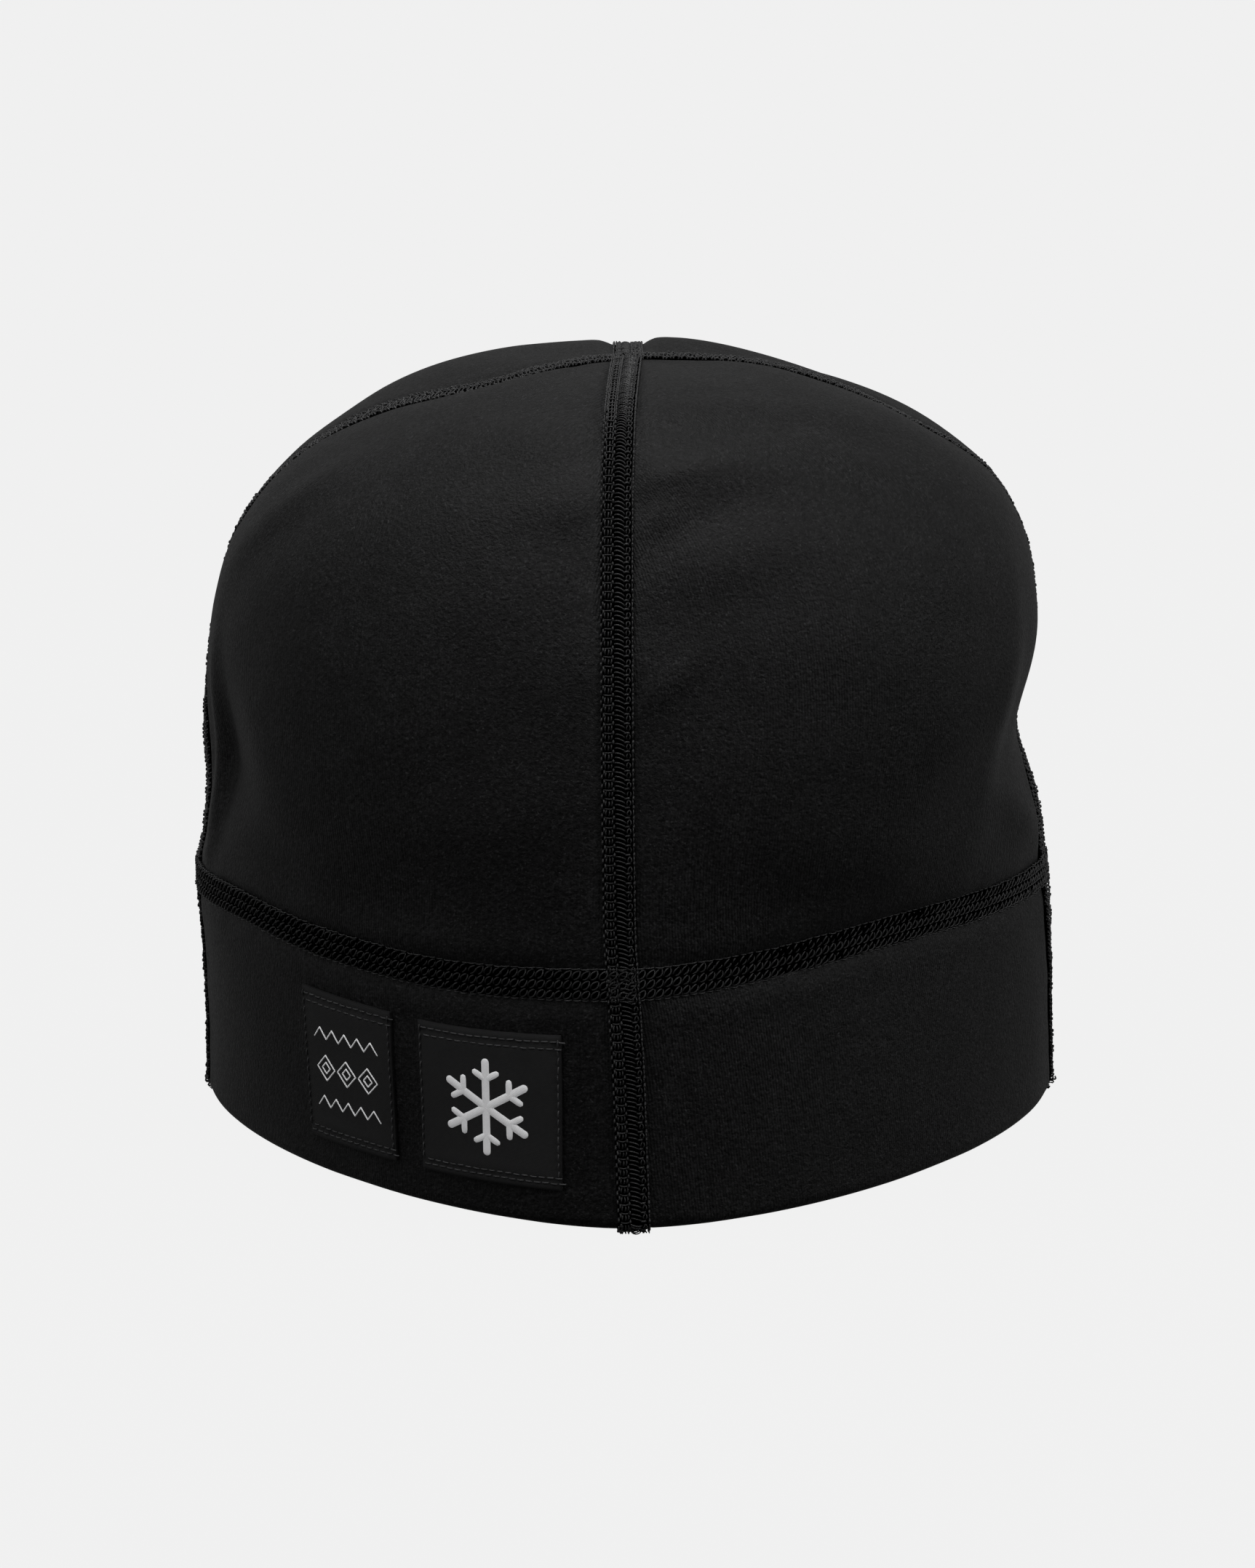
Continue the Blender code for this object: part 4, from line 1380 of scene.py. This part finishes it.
def cross_line():
    """Points and normals of the seam from the left side over the top to the right side."""
    left, left_normals = crown_line(LEFT, CROWN_EDGE, top_row_level())
    right, right_normals = crown_line(RIGHT, top_row_level(), CROWN_EDGE)
    apex = plain_point(np.array([FRONT]), np.array([float(TOP_LEVEL)]))
    points = np.concatenate((left, apex, right))
    normals = np.concatenate((left_normals, [[0.0, 0.0, 1.0]], right_normals))
    points, normals = evened(points, normals, PATH_STEP)
    near = bell(np.linalg.norm(points - apex, axis=1) / APEX_REACH)[:, None]
    for _ in range(APEX_ROUNDS):
        for row in (points, normals):
            middle = (row[:-2] + row[2:]) / 2
            row[1:-1] += near[1:-1] * (middle - row[1:-1])
    return points, unit(normals)


def sew_seam(context, name, line, number, stitch, *nodes, low=-0.12, high=0.42,
             inside=False, width=None):
    """A seam bed along a line with its stitches. Low and high are in millimetres."""
    cloth, seams = context.scene.beanie_cloth, context.scene.beanie_seams
    side = -1 if inside else 1
    points, normals = evened(*line, PATH_STEP)
    bed_points, bed_normals = evened(*line, BED_STEP)
    width = seams.width if width is None else width
    bed = bed_part(bed_points, side * bed_normals, width, low * MM, high * MM)
    normals = side * normals
    sewing = points + (high - SEWN_IN) * MM * normals
    mesh = mesh_of(name, [bed], [bed_finish(cloth)], [(sewing, normals, False)])
    pitch = line_step(sewing, False, seams.pitch)
    sew(mesh, stitch, stitch_values(seams, pitch, number, Seam_width=width), "thread", *nodes)


class BEANIE_OT_crown_seams(bpy.types.Operator):
    """Sew the front, back and cross seams of the crown"""

    bl_idname = "beanie.crown_seams"
    bl_label = "Crown Seams"

    def execute(self, context):
        front, back = (
            crown_line(side, CROWN_EDGE, level_after(side, TOP_LEVEL, -SEAM_WIDTH * 0.45))
            for side in (FRONT, BACK)
        )
        rows = (("front", front, 0.36), ("back", back, 0.36), ("cross", cross_line(), 0.30))
        for number, (place, line, high) in enumerate(rows):
            sew_seam(context, "sewn_seam_" + place, line, number, "Cover stitch",
                     "seam_" + place, high=high)
            points, normals = line
            inner = (points - CROWN_WALL * normals, normals)
            sew_seam(context, "inner_seam_" + place, inner, number + 10, "Inside stitch",
                     inside=True, low=-0.1, high=0.3, width=INNER_SEAM_WIDTH)
        return {"FINISHED"}


class BEANIE_OT_ring_seam(bpy.types.Operator):
    """Sew the seam between crown and band, outside and inside"""

    bl_idname = "beanie.ring_seam"
    bl_label = "Ring Seam"

    def execute(self, context):
        share = np.linspace(-1.0, 1.0, BED_COLUMNS + 1)
        levels = np.interp(share, (-1, 0, 1), (RING_LOW, RING_LEVEL, RING_HIGH))
        face = RING_FACE_LOW + RING_FACE_RISE * ridge(share)
        back = RING_BACK + 0 * share
        self.sew_ring(context, "sewn_seam_ring", levels, face, back, RING_THREADS, 20,
                      "Ring stitch", "seam_ring")
        share = np.linspace(0.0, 1.0, INNER_RING_STEPS + 1)
        high = level_after(FRONT, RING_LEVEL, INNER_RING_REACH)
        low = level_after(FRONT, RING_LEVEL, -INNER_RING_REACH)
        deep = CROWN_WALL + (2 * FOLD_REACH - CROWN_WALL) * np.clip(share * 2 - 0.5, 0, 1)
        face = -(deep + INNER_RING_RISE * ridge(2 * share - 1))
        back = INNER_RING_THICKNESS - deep
        self.sew_ring(context, "inner_seam_ring", high + (low - high) * share, face, back,
                      -(CROWN_WALL + INNER_RING_THREADS), 21, "Inside stitch")
        return {"FINISHED"}

    def sew_ring(self, context, name, levels, face, back, line_height, number, stitch, *nodes):
        """A bed round the hat, with heights for its face and its back, and its stitches."""
        cloth, seams = context.scene.beanie_cloth, context.scene.beanie_seams
        turns = np.linspace(0.0, FULL_TURN, RING_COLUMNS + 1)[:-1]
        around = turns[None] + 0 * levels[:, None]
        rows = levels[:, None] + 0 * around
        bed = [surface_point(around, rows, each[:, None] + 0 * around) for each in (face, back)]
        middle = np.full_like(turns, RING_LEVEL)
        line = surface_point(turns, middle, line_height + 0 * turns)
        normals = math.copysign(1.0, line_height) * outward(outer_point, turns, middle)
        sewing, facing = evened(line, normals, PATH_STEP, closed=True)
        wall = wall_part(*bed, closed=True)
        mesh = mesh_of(name, [wall], [bed_finish(cloth)], [(sewing, facing, True)])
        pitch = line_step(sewing, True, seams.pitch)
        sew(mesh, stitch, stitch_values(seams, pitch, number), "thread", *nodes)


class BEANIE_OT_band_seams(bpy.types.Operator):
    """Sew the four band seams, round the hem and up the inside"""

    bl_idname = "beanie.band_seams"
    bl_label = "Band Seams"

    def execute(self, context):
        sides = (("front", FRONT), ("back", BACK), ("left", LEFT), ("right", RIGHT))
        for number, (place, side) in enumerate(sides):
            up = even_levels(side, FOLD_LEVEL, BAND_EDGE, BAND_LINE_STEPS)
            bend = np.linspace(math.pi, 0.0, HEM_LINE_STEPS + 1)[1:-1]
            levels = np.concatenate((up[::-1], np.full(len(bend), FOLD_LEVEL), up))
            angles = np.concatenate((0 * up + math.pi, bend, 0 * up))
            middle, around = fold_frame(seam_turn(side, levels), levels, angles)
            line = (middle + FOLD_REACH * around, around)
            sew_seam(context, "sewn_seam_band_" + place, line, 30 + number, "Cover stitch",
                     "seam_band_" + place, high=0.40)
        return {"FINISHED"}


# Motifs of the labels: a six-armed snowflake, and lines of diamonds and zigzags


def snowflake_lines():
    """Three crossed bars with a pair of short twigs near each end."""
    lines = []
    for arm in range(6):
        angle = math.radians(60 * arm + 30)
        way = Vector((math.cos(angle), math.sin(angle)))
        tip = way * ARM_LENGTH
        lines.append(Line(0.0, 0.0, tip.x, tip.y, ARM_THICKNESS))
        for lean in (-1, 1):
            fork = way * TWIG_PLACE
            twig = angle + lean * math.radians(60)
            end = fork + Vector((math.cos(twig), math.sin(twig))) * TWIG_LENGTH
            lines.append(Line(fork.x, fork.y, end.x, end.y, TWIG_THICKNESS))
    return lines


def chain_lines():
    """A row of diamonds between two zigzags."""
    lines = []
    for row in (ZIGZAG_PLACE, -ZIGZAG_PLACE):
        for step in range(ZIGZAG_STEPS):
            x1 = -CHAIN_WIDTH / 2 + CHAIN_WIDTH * step / ZIGZAG_STEPS
            x2 = x1 + CHAIN_WIDTH / ZIGZAG_STEPS
            y1 = row + ZIGZAG_HEIGHT * (step % 2 * 2 - 1)
            lines.append(Line(x1, y1, x2, 2 * row - y1, CHAIN_THICKNESS))
    for step in range(DIAMONDS):
        middle = -CHAIN_WIDTH / 2 + CHAIN_WIDTH * (step + 0.5) / DIAMONDS
        for size in DIAMOND_SIZES:
            corners = ((size, 0.0), (0.0, size), (-size, 0.0), (0.0, -size), (size, 0.0))
            for (x1, y1), (x2, y2) in zip(corners, corners[1:]):
                lines.append(Line(middle + x1, y1, middle + x2, y2, CHAIN_THICKNESS))
    return lines


class BEANIE_OT_labels(bpy.types.Operator):
    """Make the two woven labels with their motifs and running stitches"""

    bl_idname = "beanie.labels"
    bl_label = "Woven Labels"

    def execute(self, context):
        seams = context.scene.beanie_seams
        labels = context.scene.beanie_labels
        finishes = [woven_satin(labels), motif_thread(labels)]
        low = level_at_height(FRONT, LABEL_FOOT)
        high = level_at_height(FRONT, LABEL_FOOT + LABEL_HEIGHT)
        middle = (low + high) / 2
        tall_start = SQUARE_LABEL_START + SQUARE_LABEL_WIDTH + LABEL_SPACE
        rows = (
            ("square", SQUARE_LABEL_START, SQUARE_LABEL_WIDTH, snowflake_lines()),
            ("tall", tall_start, TALL_LABEL_WIDTH, chain_lines()),
        )
        for number, (place, start, width, motif) in enumerate(rows):
            near = turn_after(seam_turn(FRONT, np.array(middle)), middle, -start)
            far = turn_after(near, middle, -width)

            def on_label(x, y, proud):
                """Points at metres from the label's middle, above its outer face."""
                turn = (near + far) / 2 + (near - far) * x / width
                level = middle + (high - low) * y / LABEL_HEIGHT
                return surface_point(turn, level, proud + SEAT_GAP + LABEL_THICKNESS)

            mesh = self.label_mesh(place, width, motif, on_label, finishes, labels)
            values = stitch_values(
                seams, labels.stitch_pitch, 40 + number,
                Thread_radius=0.17 * MM, Thread_rise=0.15 * MM, Seam_width=MM,
                Thread=thread_finish("grey_edge_thread", labels.edge_colour, seams),
            )
            piece = sew(mesh, "Running stitch", values, "woven_label", "label_" + place)
        return {"FINISHED"}

    def label_mesh(self, place, width, motif, on_label, finishes, labels):
        """Ground, raised lines and sewing lines of one label."""
        share = np.linspace(-0.5, 0.5, LABEL_STEPS + 1)
        x, y = np.meshgrid(width * share, LABEL_HEIGHT * share)
        side = width / 2 - np.abs(x)
        end = LABEL_HEIGHT / 2 - np.abs(y)
        edge = np.minimum(side, end)
        press = bell((end - 2.0 * MM) / (0.7 * MM)) + bell((side - 0.9 * MM) / (0.6 * MM))
        fall = np.clip(1 - edge / (0.45 * MM), 0.0, 1.0) ** 2
        swell = bell((edge - 3.6 * MM) / (1.6 * MM))
        top = on_label(x, y, LABEL_SWELL * swell - LABEL_PRESS * press - LABEL_FALL * fall)
        base = on_label(x, y, -(LABEL_THICKNESS + 0.25 * MM) + 0 * x)
        uv = np.stack((x, y), axis=-1)
        # Nearness to the label's edges, where its satin is darker
        wear = np.clip(1.2 - edge / (0.5 * MM), 0.0, 1.0)
        parts = [wall_part(top, base, uv, wear, 0)]
        for line in motif:
            ends = np.array(((line.x1, line.y1), (line.x2, line.y2))) * width
            parts.append(self.raised_line(*ends, line.width * width, on_label, labels))
        lines = []
        for foot, inward, inset in LABEL_ROWS:
            half = width / 2 - inset * MM
            x = np.linspace(-half, half, LABEL_ROW_STEPS)
            height = foot * (LABEL_HEIGHT / 2 - inward * MM)
            lines.append(self.sewing_line(x, height + 0 * x, on_label))
        inward, inset = LABEL_SIDE_ROW
        for sign in (-1, 1):
            half = LABEL_HEIGHT / 2 - inset * MM
            y = np.linspace(-half, half, LABEL_ROW_STEPS)
            x = sign * (width / 2 - inward * MM) + 0 * y
            lines.append(self.sewing_line(x, y, on_label))
        return mesh_of("woven_label_" + place, parts, finishes, lines)

    def sewing_line(self, x, y, on_label):
        """A line of running stitches on the label."""
        points = on_label(x, y, -0.03 * MM + 0 * x)
        above = on_label(x, y, 1.0 * MM + 0 * x)
        return points, unit(above - points), False

    def raised_line(self, start, end, width, on_label, labels):
        """A raised line of close stitches with round ends."""
        length = float(np.linalg.norm(end - start))
        way = (end - start) / length
        side = np.array((-way[1], way[0]))
        steps = max(6, round(length / (0.45 * MM)))
        share = np.linspace(-1.0, 1.0, steps + 1)
        along = length / 2 + (length / 2 + width / 2) * np.sin(share * math.pi / 2)
        past = np.maximum(np.maximum(-along, along - length), 0.0) / (width / 2)
        half = width / 2 * np.sqrt(np.clip(1 - past**2, 0.02, 1.0))
        spots = np.linspace(-1.0, 1.0, 7)
        place = start + along[:, None, None] * way + (half[:, None] * spots)[..., None] * side
        round_top = np.sqrt(np.clip(1 - spots**2 * 0.9, 0.0, 1.0)) * (half / (width / 2))[:, None]
        top = on_label(place[..., 0], place[..., 1], labels.motif_rise * round_top)
        base = on_label(place[..., 0], place[..., 1], -0.3 * MM + 0 * round_top)
        uv = np.stack((spots * width / 2 + 0 * along[:, None], along[:, None] + 0 * spots), -1)
        return wall_part(top, base, uv, finish=1)


class BEANIE_OT_stage(bpy.types.Operator):
    """Set up the pale sweep, the soft lights and the camera"""

    bl_idname = "beanie.stage"
    bl_label = "Studio Stage"

    def execute(self, context):
        stage = context.scene.beanie_stage
        self.sweep(stage)
        for light in LIGHTS:
            self.soft_light(light, stage.light_share)
        world = bpy.data.worlds.new("pale_room")
        world.use_nodes = True
        board = Board(world.node_tree)
        glow = world.node_tree.nodes["Background"]
        glow.inputs["Color"].default_value = (1.0, 1.0, 1.0, 1.0)
        seen = board.add("ShaderNodeLightPath").outputs["Is Camera Ray"]
        way = board.add("ShaderNodeTexCoord").outputs["Generated"]
        dot = board.add("ShaderNodeVectorMath", {0: way, 1: ROOM_SIDE}, operation="DOT_PRODUCT")
        limits = (ROOM_DARK_UP_TO, ROOM_BRIGHT_FROM, ROOM_DARK, 1.0)
        share = board.between(dot.outputs["Value"], *limits)
        room = board.maths("MULTIPLY", share, stage.room_glow)
        strength = board.between(seen, 0.0, 1.0, room, stage.card_glow)
        world.node_tree.links.new(strength, glow.inputs["Strength"])
        context.scene.world = world
        context.scene.view_settings.view_transform = "Standard"
        lens = bpy.data.cameras.new("photo_camera")
        lens.sensor_fit = "AUTO"
        lens.sensor_width = 36.0
        lens.lens = stage.lens
        lens.clip_start = 0.01
        lens.clip_end = 20.0
        camera = linked("photo_camera", lens)
        camera.location = (0.0, -stage.distance, stage.height)
        aim = Vector((0.0, 0.0, stage.aim_height)) - camera.location
        camera.rotation_euler = aim.to_track_quat("-Z", "Y").to_euler()
        context.scene.camera = camera
        return {"FINISHED"}

    def sweep(self, stage):
        """A pale floor that bends up into a backdrop."""
        run = [(y, 0.0) for y in np.linspace(SWEEP_FRONT, SWEEP_BACK, 24)]
        for angle in np.linspace(0.0, math.pi / 2, 15)[1:]:
            rise = SWEEP_BEND * (1 - math.cos(angle))
            run.append((SWEEP_BACK + SWEEP_BEND * math.sin(angle), rise))
        run += [(SWEEP_BACK + SWEEP_BEND, SWEEP_BEND + rise) for rise in SWEEP_RISES]
        points = [(side, y, z) for y, z in run for side in (-SWEEP_SIDE, SWEEP_SIDE)]
        faces = [(2 * k, 2 * k + 1, 2 * k + 3, 2 * k + 2) for k in range(len(run) - 1)]
        mesh = bpy.data.meshes.new("studio_sweep")
        mesh.from_pydata(points, [], faces)
        mesh.materials.append(studio_card(stage))
        mesh.shade_smooth()
        floor = linked("studio_sweep", mesh)
        floor.visible_diffuse = False
        floor.visible_glossy = False

    def soft_light(self, light, share):
        """A large square light that faces the hat."""
        data = bpy.data.lights.new(light.name, "AREA")
        data.shape = "SQUARE"
        data.size = LIGHT_SIZE
        data.energy = light.power * share
        lamp = linked(light.name, data)
        lamp.location = light.place
        way = Vector(LIGHT_AIM) - Vector(light.place)
        lamp.rotation_euler = way.to_track_quat("-Z", "Y").to_euler()


class BEANIE_PT_panel(bpy.types.Panel):
    """Sizes, colours and steps of the beanie"""

    bl_label = "Neoprene Beanie"
    bl_idname = "BEANIE_PT_panel"
    bl_space_type = "VIEW_3D"
    bl_region_type = "UI"
    bl_category = "Beanie"

    def draw(self, context):
        scene = context.scene
        for name, kind in GROUPS:
            box = self.layout.box()
            box.label(text=name.replace("beanie_", "").title())
            for setting in kind.__annotations__:
                box.prop(getattr(scene, name), setting)
        for step in STEPS:
            self.layout.operator("beanie." + step)


STEPS = ("stage", "crown", "band", "crown_seams", "ring_seam", "band_seams", "labels")
GROUPS = (
    ("beanie_cloth", BeanieCloth),
    ("beanie_seams", BeanieSeams),
    ("beanie_labels", BeanieLabels),
    ("beanie_stage", BeanieStage),
)
CLASSES = (
    BeanieCloth,
    BeanieSeams,
    BeanieLabels,
    BeanieStage,
    BEANIE_OT_stage,
    BEANIE_OT_crown,
    BEANIE_OT_band,
    BEANIE_OT_crown_seams,
    BEANIE_OT_ring_seam,
    BEANIE_OT_band_seams,
    BEANIE_OT_labels,
    BEANIE_PT_panel,
)


def register():
    for each in CLASSES:
        bpy.utils.register_class(each)
    for name, group in GROUPS:
        setattr(bpy.types.Scene, name, PointerProperty(type=group))


def unregister():
    for name, _ in GROUPS:
        delattr(bpy.types.Scene, name)
    for each in reversed(CLASSES):
        bpy.utils.unregister_class(each)


def main():
    register()
    for step in STEPS:
        result = getattr(bpy.ops.beanie, step)()
        if result != {"FINISHED"}:
            raise RuntimeError("The step " + step + " did not finish")


if __name__ == "__main__":
    main()
